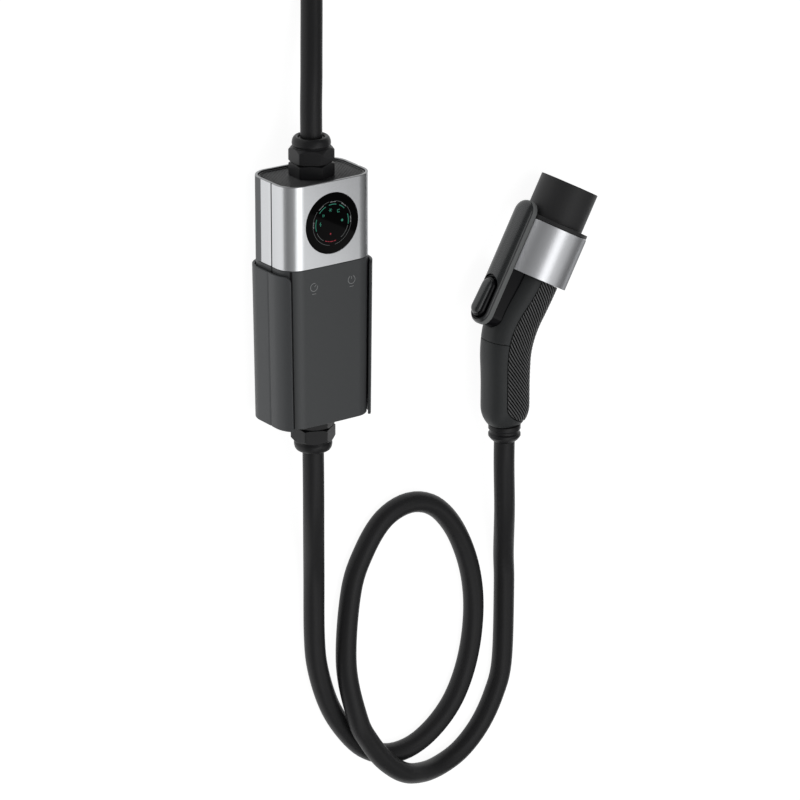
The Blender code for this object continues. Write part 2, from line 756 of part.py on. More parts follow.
def make_cradle(frame):
    """A bent sheet whose upper front corners are rounded."""
    bottom = -CRADLE_BELOW
    top = CRADLE_LENGTH - CRADLE_BELOW
    round_off = CRADLE_LIP_RADIUS

    def lip_top(distance):
        short = max(0.0, round_off - distance)
        return top - (round_off - math.sqrt(round_off**2 - short**2))

    inner, outer = cradle_line(0.0), cradle_line(CRADLE_WALL)
    rings = []
    for (xi, yi, distance), (xo, yo, _) in zip(inner, outer):
        high = lip_top(distance)
        low_factor, high_factor = draft(bottom), draft(high)
        rings.append(
            [
                Vector((xi * low_factor, yi, bottom)),
                Vector((xo * low_factor, yo, bottom)),
                Vector((xo * high_factor, yo, high)),
                Vector((xi * high_factor, yi, high)),
            ]
        )
    piece("cradle", loft(rings), frame, CHARCOAL)


def hexagon(flats, height, limit=1.0, sides=24):
    """A hexagon ring whose corners are turned down to a radius."""
    ring = []
    for k in range(sides):
        turn = 2 * math.pi * k / sides
        sixth = (turn + math.pi / 6) % (math.pi / 3) - math.pi / 6
        reach = min(flats / 2 / math.cos(sixth), limit)
        angle = turn + GLAND_TURN
        ring.append(Vector((reach * math.cos(angle), reach * math.sin(angle), height)))
    return ring


def plain_ring(radius, height, sides=24):
    turn = [2 * math.pi * k / sides + GLAND_TURN for k in range(sides)]
    return [Vector((radius * math.cos(t), radius * math.sin(t), height)) for t in turn]


def make_gland(prefix, frame):
    """Body, domed nut, seal and lock nut, with z out of the box and its cap's face at z = 0."""
    corner = GLAND_FLATS / math.sqrt(3)
    soft = 0.5 * MM
    nut_start = TOUCH + GLAND_BASE + GLAND_GROOVE
    hex_end = nut_start + GLAND_HEX
    seal_start = GLAND_LENGTH - SEAL_LENGTH
    neck = SEAL_RADIUS + TOUCH + GLAND_WALL
    neck_end = seal_start - TOUCH
    bore = GLAND_THREAD - GLAND_WALL
    depth = CAP_THICKNESS + 2 * TOUCH + LOCKNUT_LENGTH
    body = [
        plain_ring(GLAND_THREAD, -depth),
        plain_ring(GLAND_THREAD, TOUCH),
        hexagon(GLAND_FLATS, TOUCH),
        hexagon(GLAND_FLATS, TOUCH + GLAND_BASE - soft),
        hexagon(GLAND_FLATS, TOUCH + GLAND_BASE, corner - soft),
        plain_ring(neck, TOUCH + GLAND_BASE),
        plain_ring(neck, neck_end),
        plain_ring(bore, neck_end),
        plain_ring(bore, -depth),
    ]
    piece(prefix + "_gland_body", loft(body, closed=True), frame, BLACK)
    nut = [
        plain_ring(neck + TOUCH, nut_start),
        hexagon(GLAND_FLATS, nut_start, corner - soft),
        hexagon(GLAND_FLATS, nut_start + soft),
        hexagon(GLAND_FLATS, hex_end - 2 * MM),
        hexagon(GLAND_FLATS, hex_end - 1 * MM, corner - 0.9 * MM),
        hexagon(GLAND_FLATS, hex_end, GLAND_FLATS / 2 + 0.1 * MM),
        plain_ring(GLAND_DOME_RADIUS - 0.6 * MM, hex_end + 0.5 * MM),
    ]
    dome = GLAND_LENGTH - hex_end - 2 * MM
    opening = SEAL_RADIUS + TOUCH
    for k in range(5):
        turn = math.pi / 2 * k / 4
        reach = opening + 0.4 * MM + (GLAND_DOME_RADIUS - opening - 0.4 * MM) * math.cos(turn)
        nut.append(plain_ring(reach, hex_end + 2 * MM + dome * math.sin(turn)))
    nut += [
        plain_ring(opening, GLAND_LENGTH),
        plain_ring(opening, seal_start),
        plain_ring(neck + TOUCH, seal_start),
    ]
    piece(prefix + "_gland_nut", loft(nut, closed=True), frame, BLACK)
    seal = turned(
        [
            (SEAL_BORE, seal_start),
            (SEAL_RADIUS, seal_start),
            (SEAL_RADIUS, GLAND_LENGTH),
            (SEAL_RADIUS - TOUCH, GLAND_END),
            (SEAL_BORE, GLAND_END),
        ]
    )
    piece(prefix + "_gland_seal", seal, frame, RUBBER)
    nut_top = -CAP_THICKNESS - TOUCH
    locknut = [
        plain_ring(GLAND_THREAD + TOUCH, nut_top - LOCKNUT_LENGTH),
        hexagon(GLAND_FLATS, nut_top - LOCKNUT_LENGTH),
        hexagon(GLAND_FLATS, nut_top),
        plain_ring(GLAND_THREAD + TOUCH, nut_top),
    ]
    piece(prefix + "_gland_locknut", loft(locknut, closed=True), frame, BLACK)


def rounded_rectangle(width, height, radius, level, steps=5):
    ring = []
    for quarter, (sx, sy) in enumerate(((1, 1), (-1, 1), (-1, -1), (1, -1))):
        for k in range(steps + 1):
            turn = math.pi / 2 * (quarter + k / steps)
            x = sx * (width / 2 - radius) + radius * math.cos(turn)
            y = sy * (height / 2 - radius) + radius * math.sin(turn)
            ring.append(Vector((x, y, level)))
    return ring


def make_plug(frame):
    """Plug with z out of its face and the cord's end at z = 0."""
    start = BOOT_LENGTH + 2 * TOUCH
    face = start + PLUG_LENGTH
    rear_wide, rear_high = PLUG_REAR_NARROWING
    shoulder_wide, shoulder_high = PLUG_SHOULDER_NARROWING
    edge = 2 * PLUG_EDGE
    boot = turned(
        [
            (SEAL_BORE, TOUCH),
            (CABLE_DIAMETER / 2 + BOOT_WALL, TOUCH),
            (BOOT_RADIUS - BOOT_STEP, BOOT_LENGTH * 0.7),
            (BOOT_RADIUS, BOOT_LENGTH),
            (SEAL_BORE, BOOT_LENGTH),
        ]
    )
    piece("plug_boot", boot, frame, RUBBER)
    body = loft(
        [
            rounded_rectangle(
                PLUG_WIDTH - rear_wide, PLUG_HEIGHT - rear_high, PLUG_CORNER - BOOT_STEP, start
            ),
            rounded_rectangle(
                PLUG_WIDTH - shoulder_wide, PLUG_HEIGHT - shoulder_high, PLUG_CORNER, start + PLUG_SHOULDER
            ),
            rounded_rectangle(PLUG_WIDTH, PLUG_HEIGHT, PLUG_CORNER, start + PLUG_TAPER),
            rounded_rectangle(PLUG_WIDTH, PLUG_HEIGHT, PLUG_CORNER, face - PLUG_EDGE),
            rounded_rectangle(PLUG_WIDTH - edge, PLUG_HEIGHT - edge, PLUG_CORNER - PLUG_EDGE, face),
        ]
    )
    thick, wide, long = BLADE_SIZE
    seat = face - BLADE_SEAT
    top = PLUG_PIN_SHIFT
    slots = []
    for number, side in ((1, -1), (2, 1)):
        x = side * BLADE_SPACING / 2
        middle = (x, top, face + (long - BLADE_SEAT + TOUCH) / 2)
        blade = block((thick, wide, long + BLADE_SEAT - TOUCH), middle)
        bevel(piece(f"plug_blade_{number}", blade, frame, BRASS), thick / 4)
        room = (thick + 2 * TOUCH, wide + 2 * TOUCH, 4 * BLADE_SEAT)
        slots.append(block(room, (x, top, seat + 2 * BLADE_SEAT)))
    low = top - GROUND_PIN_DROP
    slots.append(rod(GROUND_PIN_RADIUS + TOUCH, (0, low, seat), (0, low, seat + 4 * BLADE_SEAT)))
    cut(piece("plug_body", body, frame, BLACK), joined(slots))
    pin = rod(GROUND_PIN_RADIUS, (0, low, seat + TOUCH), (0, low, face + GROUND_PIN_LENGTH), 20)
    bevel(piece("plug_ground_pin", pin, frame, BRASS), GROUND_PIN_EDGE)


def slot(start, end):
    """The latch's channel through the collar and the nose flange, between two heights in the nose frame."""
    deep = COLLAR_RADIUS
    size = (deep, 2 * SLOT_HALF_WIDTH, end - start)
    return block(size, (-SLOT_FLOOR - deep / 2, 0, (start + end) / 2))


def make_nose(frame):
    """Shroud, collar ring and contact carrier, with z out of the nose."""
    flange_end = FLANGE_START + FLANGE_THICKNESS
    edge = 0.4 * MM
    seat = SPIGOT_RADIUS + TOUCH
    profile = [
        (seat, TOUCH),
        (BARREL_RADIUS, TOUCH),
        (BARREL_RADIUS, FLANGE_START),
        (COLLAR_RADIUS - edge, FLANGE_START),
        (COLLAR_RADIUS - edge, flange_end - edge),
        (COLLAR_RADIUS - 2 * edge, flange_end),
        (NOSE_RADIUS, flange_end),
        (NOSE_RADIUS, NOSE_LENGTH - edge),
        (NOSE_RADIUS - edge, NOSE_LENGTH),
        (NOSE_BORE + edge, NOSE_LENGTH),
        (NOSE_BORE, NOSE_LENGTH - edge),
        (NOSE_BORE, SHROUD_SEAT),
        (seat, SHROUD_SEAT),
    ]
    shroud = piece("nose_shroud", turned(profile, sides=48), frame, BLACK)
    cut(shroud, slot(-CUT_PAST, flange_end + FLANGE_CUT_PAST))
    ring = [
        (COLLAR_RADIUS - COLLAR_WALL, 0.0),
        (COLLAR_RADIUS - edge, 0.0),
        (COLLAR_RADIUS, edge),
        (COLLAR_RADIUS, COLLAR_LENGTH - edge),
        (COLLAR_RADIUS - edge, COLLAR_LENGTH),
        (COLLAR_RADIUS - COLLAR_WALL, COLLAR_LENGTH),
    ]
    collar = piece("collar_ring", turned(ring, sides=48), frame, BRUSHED)
    cut(collar, slot(-CUT_PAST, COLLAR_LENGTH + CUT_PAST))


def contact_places():
    """Name, place towards the latch, place across, outer radius and bore of each contact."""
    high, out = POWER_PLACE
    low, wide = SIGNAL_PLACE
    return [
        ("power_contact_1", high, -out, *POWER_CONTACT),
        ("power_contact_2", high, out, *POWER_CONTACT),
        ("ground_contact", GROUND_PLACE, 0.0, *GROUND_CONTACT),
        ("signal_contact_1", low, -wide, *SIGNAL_CONTACT),
        ("signal_contact_2", low, wide, *SIGNAL_CONTACT),
    ]


def make_contacts(frame):
    face = NOSE_LENGTH - NOSE_RECESS
    carrier_radius = NOSE_BORE - TOUCH
    carrier = turned([(carrier_radius, CARRIER_REAR), (carrier_radius, face)], closed=False, sides=40)
    holes = []
    tip = face - CONTACT_SINK
    for name, high, across, outer, bore in contact_places():
        x, y = -high, -across
        holes.append(rod(outer + TOUCH, (x, y, CARRIER_REAR - CUT_PAST), (x, y, face + CUT_PAST), 16))
        sleeve_profile = [
            (bore, tip - CONTACT_BORE_DEPTH),
            (bore, tip - TOUCH),
            (bore + TOUCH, tip),
            (outer, tip),
            (outer, CONTACT_REAR),
        ]
        contact = turned(sleeve_profile, closed=False, sides=16)
        bmesh.ops.translate(contact, verts=contact.verts, vec=(x, y, 0))
        piece(name, contact, frame, SILVER)
    cut(piece("contact_carrier", carrier, frame, BLACK), joined(holes))


def grip_place(along):
    """Point and turn of the grip's centre line, from the collar's rear edge to the tail."""
    bend = BEND_RADIUS * HANDLE_TURN
    if along <= NECK_STRAIGHT:
        return Vector((0, -along, 0)), 0.0
    turn = min(along - NECK_STRAIGHT, bend) / BEND_RADIUS
    x = BEND_RADIUS * (1 - math.cos(turn))
    y = -NECK_STRAIGHT - BEND_RADIUS * math.sin(turn)
    past = max(0.0, along - NECK_STRAIGHT - bend)
    return Vector((x + past * math.sin(turn), y - past * math.cos(turn), 0)), turn


def grip_radius(along, angle, inset):
    """Distance from the centre line to the grip's surface; angle 0 is the back, away from the latch."""
    widen = 1 - ease(along / GRIP_EASE)
    back = GRIP_HALF_WIDTH + (NECK_BACK - GRIP_HALF_WIDTH) * widen
    thick = GRIP_HALF_THICKNESS + (NECK_HALF_THICKNESS - GRIP_HALF_THICKNESS) * widen
    front = back - (NECK_BACK - NECK_FRONT) * (1 - ease(along / NECK_EASE))
    past = max(0.0, along - (GRIP_LENGTH - TAIL_ROUND)) / TAIL_ROUND
    shrink = math.sqrt(1 - (1 - TAIL_RATIO**2) * min(past, 1.0) ** 2)
    wide = (back if math.cos(angle) > 0 else front) * shrink - inset
    deep = thick * shrink - inset
    across = (abs(math.cos(angle)) / wide) ** GRIP_POWER + (abs(math.sin(angle)) / deep) ** GRIP_POWER
    return across ** (-1 / GRIP_POWER)


def grip_point(along, angle, radius):
    """A point at a radius and angle round the centre line."""
    centre, turn = grip_place(along)
    outward = Vector((math.cos(turn), math.sin(turn), 0))
    return centre + outward * (radius * math.cos(angle)) + Vector((0, 0, radius * math.sin(angle)))


def insert_span(along):
    """Half the angle that the ribbed insert covers; it closes in a round tip towards the tail."""
    span = INSERT_SPAN_NECK + (INSERT_SPAN_GRIP - INSERT_SPAN_NECK) * ease(along / INSERT_SPAN_EASE)
    past = min(max(0.0, along - TIP_START) / INSERT_TIP, 1.0)
    return span * math.sqrt(1 - past**2)


def recess_span(along):
    """Half the angle of the insert's recess in the housing: the insert's with a gap all round."""
    return insert_span(along - INSERT_GAP) + INSERT_GAP / RIB_RADIUS


def tip_rows():
    """Places along the grip at which the insert's round tip narrows by even steps of its arc."""
    turns = stations(0.0, math.pi / 2, TIP_STEPS + 1)
    return [TIP_START + INSERT_TIP * math.sin(turn) for turn in turns]


def grip_ring(along, inset=0.0):
    """The grip's section at a place along it, `inset` inside its surface."""
    turns = [2 * math.pi * k / GRIP_SIDES for k in range(GRIP_SIDES)]
    return [grip_point(along, turn, grip_radius(along, turn, inset)) for turn in turns]


def round_ring(along, radius):
    turns = [2 * math.pi * k / GRIP_SIDES for k in range(GRIP_SIDES)]
    return [grip_point(along, turn, radius) for turn in turns]


def recess():
    """The room that the insert takes out of the housing, with a gap round and under it."""
    rows = stations(-TOUCH, TIP_START + INSERT_GAP, 2 * STATIONS)
    rows += [row + INSERT_GAP for row in tip_rows()[1:-1]]
    rings = []
    for along in rows:
        span = recess_span(along)
        turns = [-span + 2 * span * k / UNDER_STEPS for k in range(UNDER_STEPS + 1)]
        over = [grip_point(along, turn, grip_radius(along, turn, -RECESS_DEPTH)) for turn in turns]
        under = [grip_point(along, turn, grip_radius(along, turn, RECESS_DEPTH)) for turn in reversed(turns)]
        rings.append(over + under)
    return loft(rings)


def make_upper_housing(frame):
    """The part of the handle between the collar and the seam, with a spigot in the shroud."""
    along = stations(0.0, SEAM_AT, STATIONS)
    inside = [HOUSING_FLOOR] + along[1:]
    spigot_bore = SPIGOT_RADIUS - SPIGOT_WALL
    rings = [round_ring(-SPIGOT_LENGTH, SPIGOT_RADIUS), round_ring(0.0, SPIGOT_RADIUS)]
    rings += [grip_ring(s) for s in along]
    rings += [grip_ring(s, HOUSING_WALL) for s in reversed(inside)]
    rings += [round_ring(HOUSING_FLOOR, spigot_bore), round_ring(-SPIGOT_LENGTH, spigot_bore)]
    housing = piece("upper_housing", loft(rings, closed=True), frame, CHARCOAL)
    cut(housing, recess())
    cut(housing, base_solid(-TOUCH, BASE_BOTTOM - TOUCH, 2 * COVER_TOP))


def make_grip_shell(frame):
    """The part of the handle between the seam and the tail."""
    straight = stations(SEAM_AT + TOUCH, GRIP_LENGTH - TAIL_ROUND, STATIONS)
    tail = [GRIP_LENGTH - TAIL_ROUND * (1 - share) for share in (0.35, 0.6, 0.8, 0.92, 1.0)]
    floor = GRIP_LENGTH - HOUSING_FLOOR
    inside = straight + tail[:2]
    rings = [grip_ring(s) for s in straight + tail]
    rings += [round_ring(GRIP_LENGTH, TAIL_HOLE), round_ring(floor, TAIL_HOLE)]
    rings += [grip_ring(floor, HOUSING_WALL)]
    rings += [grip_ring(s, HOUSING_WALL) for s in reversed(inside)]
    cut(piece("grip_shell", loft(rings, closed=True), frame, CHARCOAL), recess())


def make_grip_insert(frame):
    """The ribbed grip: each row crosses the ribs, and its points lie on the ribs' crests and valleys."""
    rows = stations(TOUCH, TIP_START, 2 * STATIONS) + tip_rows()[1:-1]
    last = (INSERT_SPAN_GRIP * RIB_RADIUS + RIB_SLOPE * GRIP_LENGTH) / RIB_PITCH
    lines = range(math.ceil(last * RIB_STEPS) + 1)
    rings = []
    for along in rows:
        reach = insert_span(along)
        half = []
        for line in lines:
            angle = (line / RIB_STEPS * RIB_PITCH - RIB_SLOPE * along) / RIB_RADIUS
            wave = 0.5 - 0.5 * math.cos(2 * math.pi * line / RIB_STEPS)
            inside = min(max(angle, 0.0), reach)
            if inside != angle:
                wave = 0.0
            sink = INSERT_SINK - RIB_HEIGHT * wave
            half.append((inside, sink))
        ring = [
            grip_point(along, side_angle, grip_radius(along, side_angle, sink))
            for side_angle, sink in [(-a, d) for a, d in reversed(half)] + half
        ]
        floor = INSERT_SINK + INSERT_THICKNESS
        for k in range(UNDER_STEPS + 1):
            angle = reach - 2 * reach * k / UNDER_STEPS
            ring.append(grip_point(along, angle, grip_radius(along, angle, floor)))
        rings.append(ring)
    piece("grip_insert", loft(rings), frame, RUBBER)


def make_tail(frame):
    """Tail ring and cord clamp, with z out of the handle along the cord and the grip's end at z = 0."""
    soft = TAIL_EDGE
    sleeve_radius = TAIL_HOLE - TOUCH
    start = TOUCH
    profile = [
        (TAIL_RING_BORE, -HOUSING_FLOOR),
        (sleeve_radius, -HOUSING_FLOOR),
        (sleeve_radius, start),
        (TAIL_RING_RADIUS - soft, start),
        (TAIL_RING_RADIUS, start + soft),
        (TAIL_RING_RADIUS, TAIL_FLANGE_END),
        (TAIL_RING_WAIST, TAIL_FLANGE_END + soft),
        (TAIL_RING_WAIST, TAIL_WAIST_END),
        (TAIL_RING_RADIUS, TAIL_WAIST_END + TAIL_SHOULDER),
        (TAIL_RING_RADIUS, TAIL_RIM_END),
        (TAIL_RING_RADIUS - TAIL_SHOULDER, TAIL_SHOULDER_END),
        (CABLE_DIAMETER / 2 + TAIL_LIP, TAIL_RING_LENGTH),
        (TAIL_RING_BORE, TAIL_RING_LENGTH),
    ]
    piece("tail_ring", turned(profile), frame, BLACK)
    top = -HOUSING_FLOOR - TOUCH
    clamp = [
        (TAIL_RING_BORE, top - CLAMP_LENGTH),
        (CLAMP_RADIUS, top - CLAMP_LENGTH),
        (CLAMP_RADIUS, top),
        (TAIL_RING_BORE, top),
    ]
    piece("cord_clamp", turned(clamp), frame, WHITE)


def make_wire_bundle(frame):
    """The wires from the contacts to the clamp, as one sheathed bundle along the handle."""
    end = GRIP_LENGTH - HOUSING_FLOOR - CLAMP_LENGTH - 2 * TOUCH
    line = [grip_place(along)[0] for along in stations(TOUCH - CARRIER_REAR, end, 14)]
    tube("wire_bundle", [line], BUNDLE_RADIUS, frame, WHITE, 2)


def capsule(rear, front, half_width, inset=0.0, steps=9):
    """A slot-shaped outline as (across, along) points, `inset` inside its edge."""
    radius = half_width - inset
    turns = [math.pi * k / steps for k in range(steps + 1)]
    ahead = [(radius * math.cos(t), front - half_width + radius * math.sin(t)) for t in turns]
    behind = [(-radius * math.cos(t), rear + half_width - radius * math.sin(t)) for t in turns]
    return ahead + behind


def latch_ring(outline, height):
    """An outline of the latch at a height from the nose's axis."""
    return [Vector((-height, along, across)) for across, along in outline]


def base_outline(grow):
    """The latch base's outline: round at the rear and square against the collar."""
    half = BASE_HALF_WIDTH + grow
    front = -TOUCH + grow
    steps = 12
    middle = BASE_REAR + BASE_HALF_WIDTH
    turns = [math.pi * k / steps for k in range(steps + 1)]
    rear = [(-half * math.cos(t), middle - half * math.sin(t)) for t in turns]
    return [(half, front), (-half, front)] + rear


def base_solid(shrink, bottom, top):
    return loft([latch_ring(base_outline(-shrink), bottom), latch_ring(base_outline(-shrink), top)])


def make_latch_base(frame):
    top = COVER_BOTTOM - TOUCH
    floor = BASE_BOTTOM + BASE_FLOOR
    outer, inner = base_outline(0.0), base_outline(-BASE_WALL)
    rings = [
        latch_ring(inner, floor),
        latch_ring(inner, top),
        latch_ring(outer, top),
        latch_ring(outer, BASE_BOTTOM),
    ]
    piece("latch_base", loft(rings), frame, GLOSS)


def make_latch_cover(frame):
    """A hollow capsule with a straight band, a crease and a domed face, open below."""
    band_top = COVER_BOTTOM + COVER_BAND
    dome_start = band_top + COVER_CREASE
    cavity_top = COVER_TOP - COVER_WALL
    wall = COVER_WALL

    def ring(inset, height):
        return latch_ring(capsule(COVER_REAR, COVER_FRONT, COVER_HALF_WIDTH, inset), height)

    rings = [
        ring(wall + 0.25 * COVER_DOME, cavity_top),
        ring(wall, cavity_top - 0.4 * COVER_DOME),
        ring(wall, COVER_BOTTOM),
        ring(0.0, COVER_BOTTOM),
        ring(0.0, band_top),
        ring(COVER_CREASE, band_top + COVER_CREASE / 2),
    ]
    for k in range(5):
        turn = math.pi / 2 * k / 4
        inset = COVER_CREASE / 2 + COVER_DOME * (1 - math.cos(turn))
        rings.append(ring(inset, dome_start + (COVER_TOP - dome_start) * math.sin(turn)))
    cover = piece("latch_cover", loft(rings), frame, CHARCOAL)
    grow = BUTTON_CLEARANCE
    opening = capsule(BUTTON_REAR - grow, BUTTON_FRONT + grow, BUTTON_HALF_WIDTH + grow)
    middle = cavity_top - 0.4 * COVER_DOME
    cut(cover, loft([latch_ring(opening, middle), latch_ring(opening, 2 * COVER_TOP)]))


def from_pivot(mesh):
    """Move a mesh from the handle's coordinates to those of the latch's pivot."""
    bmesh.ops.translate(mesh, verts=mesh.verts, vec=(PIVOT_HEIGHT, -PIVOT_ALONG, 0))
    return mesh


def make_thumb_button(pivot):
    """A bean-shaped button that stands prouder towards its rear."""
    bottom = ARM_TOP + TOUCH
    straight = COVER_TOP - bottom
    length = BUTTON_FRONT - BUTTON_REAR
    dome = 3.6 * MM
    rings = []
    for inset, share in [(0.0, 0.0)] + [
        (dome * (1 - math.cos(t)), 0.55 + 0.45 * math.sin(t)) for t in stations(0, math.pi / 2, 5)
    ]:
        ring = []
        for across, along in capsule(BUTTON_REAR, BUTTON_FRONT, BUTTON_HALF_WIDTH, inset):
            back = ease((BUTTON_FRONT - along) / length * 1.25)
            proud = BUTTON_FRONT_PROUD + (BUTTON_PROUD - BUTTON_FRONT_PROUD) * back
            height = bottom + (straight + proud) * share
            ring.append(Vector((-height, along, across)))
        rings.append(ring)
    piece("thumb_button", from_pivot(loft(rings)), pivot, CHARCOAL)


def make_latch_arm(pivot):
    """The lever from under the thumb button to the hook that holds the vehicle's inlet."""
    catch = ARM_BOTTOM - HOOK_BOTTOM
    side = [
        (ARM_REAR, ARM_BOTTOM),
        (ARM_REAR, ARM_TOP),
        (PIVOT_ALONG - 2 * PIVOT_BOSS, ARM_TOP),
        (PIVOT_ALONG - PIVOT_BOSS, PIVOT_HEIGHT + PIVOT_BOSS),
        (PIVOT_ALONG + PIVOT_BOSS, PIVOT_HEIGHT + PIVOT_BOSS),
        (PIVOT_ALONG + 2 * PIVOT_BOSS, ARM_TOP),
        (HOOK_FRONT - 4 * HOOK_THICKNESS, ARM_TIP_TOP),
        (HOOK_FRONT - HOOK_THICKNESS / 2, ARM_TIP_TOP),
        (HOOK_FRONT, ARM_TIP_TOP - HOOK_THICKNESS / 2),
        (HOOK_FRONT, HOOK_BOTTOM + HOOK_THICKNESS / 2),
        (HOOK_FRONT - HOOK_THICKNESS / 3, HOOK_BOTTOM),
        (HOOK_FRONT - HOOK_THICKNESS, HOOK_BOTTOM),
        (HOOK_FRONT - HOOK_THICKNESS, HOOK_BOTTOM + catch / 2),
        (HOOK_FRONT - 2 * HOOK_THICKNESS, ARM_BOTTOM),
    ]
    sides = (-ARM_HALF_WIDTH, ARM_HALF_WIDTH)
    ends = [[Vector((-height, along, across)) for along, height in side] for across in sides]
    arm = piece("latch_arm", from_pivot(loft(ends)), pivot, BLACK)
    reach = 2 * ARM_HALF_WIDTH
    cut(arm, rod(PIN_RADIUS + TOUCH, (0, 0, -reach), (0, 0, reach), 24))


def make_latch_fittings(frame):
    """Pin, return spring and micro switch."""
    half = COVER_HALF_WIDTH - COVER_WALL - TOUCH
    pin = rod(PIN_RADIUS, (-PIVOT_HEIGHT, PIVOT_ALONG, -half), (-PIVOT_HEIGHT, PIVOT_ALONG, half), 24)
    piece("latch_pin", pin, frame, STEEL)
    floor = BASE_BOTTOM + BASE_FLOOR + TOUCH
    steps = 8 * SPRING_TURNS
    start = floor + SPRING_WIRE
    rise = SPRING_LENGTH - 2 * SPRING_WIRE
    coil = []
    for k in range(steps + 1):
        turn = 2 * math.pi * SPRING_TURNS * k / steps
        along = SPRING_ALONG + SPRING_RADIUS * math.cos(turn)
        coil.append(Vector((-start - rise * k / steps, along, SPRING_RADIUS * math.sin(turn))))
    tube("latch_spring", [coil], SPRING_WIRE, frame, STEEL, 1)
    wide, long, tall = SWITCH_SIZE
    switch = block((tall, long, wide), (-floor - tall / 2, SWITCH_ALONG, 0))
    piece("micro_switch", switch, frame, BLACK)


def make_control_box():
    frame = empty("box_frame", (0, BOX_BOTTOM, BOX_AXIS_HEIGHT), (-math.pi / 2, 0, 0))
    dial_frame = empty("dial_frame", (0, -BOX_DEPTH / 2, DIAL_HEIGHT), (math.pi / 2, 0, 0), frame)
    make_sleeves(frame)
    make_inner_frame(frame)
    make_caps(frame)
    make_dial(dial_frame)
    make_electronics(frame)
    make_cradle(frame)
    make_gland("supply", empty("supply_gland_frame", (0, 0, TOP_CAP_FACE), parent=frame))
    bottom = empty("vehicle_gland_frame", (0, 0, BOTTOM_CAP_FACE), (math.pi, 0, 0), frame)
    make_gland("vehicle", bottom)


def make_handle():
    place = (*HANDLE_PLACE, HANDLE_HEIGHT)
    frame = empty("handle_frame", place, (0, 0, -HANDLE_TURN))
    nose = empty("nose_frame", (0, 0, 0), (-math.pi / 2, 0, 0), frame)
    tail_place, turn = grip_place(GRIP_LENGTH)
    tail = empty("tail_frame", tail_place, (math.pi / 2, 0, turn), frame)
    pivot = empty("latch_pivot", (-PIVOT_HEIGHT, PIVOT_ALONG, 0), parent=frame)
    make_nose(nose)
    make_contacts(nose)
    make_upper_housing(frame)
    make_grip_shell(frame)
    make_grip_insert(frame)
    make_tail(tail)
    make_wire_bundle(frame)
    make_latch_base(frame)
    make_latch_cover(frame)
    make_thumb_button(pivot)
    make_latch_arm(pivot)
    make_latch_fittings(frame)


def tail_end():
    """Where the vehicle cord ends, just outside the tail ring, after a point in line with the grip."""
    place, turn = grip_place(GRIP_LENGTH)
    out = Vector((math.sin(turn), -math.cos(turn), 0))
    lie = Matrix.Translation((*HANDLE_PLACE, HANDLE_HEIGHT)) @ Matrix.Rotation(-HANDLE_TURN, 4, "Z")
    reach = TAIL_RING_LENGTH + TOUCH
    return [lie @ (place + out * (reach + TAIL_LEAD)), lie @ (place + out * reach)]


def make_cords():
    supply = smooth_route(SUPPLY_ROUTE, SUPPLY_POINTS)
    tube("supply_cord", [supply], CABLE_DIAMETER / 2, None, CABLE, CABLE_SIDES)
    make_plug(empty("plug_frame", supply[-1], (-math.pi / 2, 0, 0)))
    vehicle = smooth_route(VEHICLE_ROUTE + tail_end(), VEHICLE_POINTS)
    tube("vehicle_cord", [vehicle], CABLE_DIAMETER / 2, None, CABLE, CABLE_SIDES)


def main():
    clear_scene()
    make_control_box()
    make_handle()
    make_cords()


main()
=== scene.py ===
"""The looks of the in-line EV charger: finely shaped pieces and their finishes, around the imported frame.

Everything is in metres. The control box is shaped upright (x across, -y to the front, z along it) and laid on its
back by BOX. The handle is shaped under HANDLE: y along its nose, -x towards the latch, z up.
"""

import math

import bmesh
import bpy
from mathutils import Matrix, Vector


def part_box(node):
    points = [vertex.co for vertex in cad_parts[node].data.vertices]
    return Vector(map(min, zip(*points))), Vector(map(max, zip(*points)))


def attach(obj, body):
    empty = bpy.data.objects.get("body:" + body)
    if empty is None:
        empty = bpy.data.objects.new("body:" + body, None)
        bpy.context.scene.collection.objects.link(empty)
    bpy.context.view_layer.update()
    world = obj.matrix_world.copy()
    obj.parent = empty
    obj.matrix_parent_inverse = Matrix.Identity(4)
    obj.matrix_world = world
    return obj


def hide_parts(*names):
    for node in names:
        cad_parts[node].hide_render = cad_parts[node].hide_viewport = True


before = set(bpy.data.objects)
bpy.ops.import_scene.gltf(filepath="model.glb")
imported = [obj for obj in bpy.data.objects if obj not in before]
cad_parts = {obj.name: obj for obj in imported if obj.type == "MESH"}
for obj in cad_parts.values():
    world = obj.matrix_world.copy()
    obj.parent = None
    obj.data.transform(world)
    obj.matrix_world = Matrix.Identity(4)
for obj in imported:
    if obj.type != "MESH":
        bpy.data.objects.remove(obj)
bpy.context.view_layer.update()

MM = 0.001
TOUCH = 0.3 * MM
MERGE = 0.002 * MM
AXIS = 0.05 * MM

# Camera, fitted to the photograph
CAMERA_PLACE = Vector((-1.6579, 1.0434, 2.5134))
CAMERA_RIGHT = Vector((0.8203, 0.0, 0.5719))
CAMERA_UP = Vector((0.1961, 0.9394, -0.2812))
CAMERA_ROLL = math.radians(0.05)
CAMERA_LENS = 202.5

# Studio, as radiance against a white of 1. A lamp hangs at an angle from overhead towards +X, set towards -Y.
HORIZON = 0.10
ZENITH = 0.38
ZENITH_AT = 0.9
LEFT_GLOW = 0.35
GLOW_HEIGHT = 0.4
FLOOR_GLOW = 0.93
FLOOR_REACH = 12
LAMPS = {
    "key_box": {"angle": -5, "distance": 1.6, "rear": 0.5, "wide": 0.85, "long": 3.6, "radiance": 1.15},
    "fill_box": {"angle": 19.5, "distance": 1.8, "rear": 0.65, "wide": 0.68, "long": 2.0, "radiance": 0.75},
}


def shift(x, y, z):
    return Matrix.Translation((x, y, z))


def turn(degrees, axis):
    return Matrix.Rotation(math.radians(degrees), 4, axis)


def size(node):
    low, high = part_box(node)
    return high - low


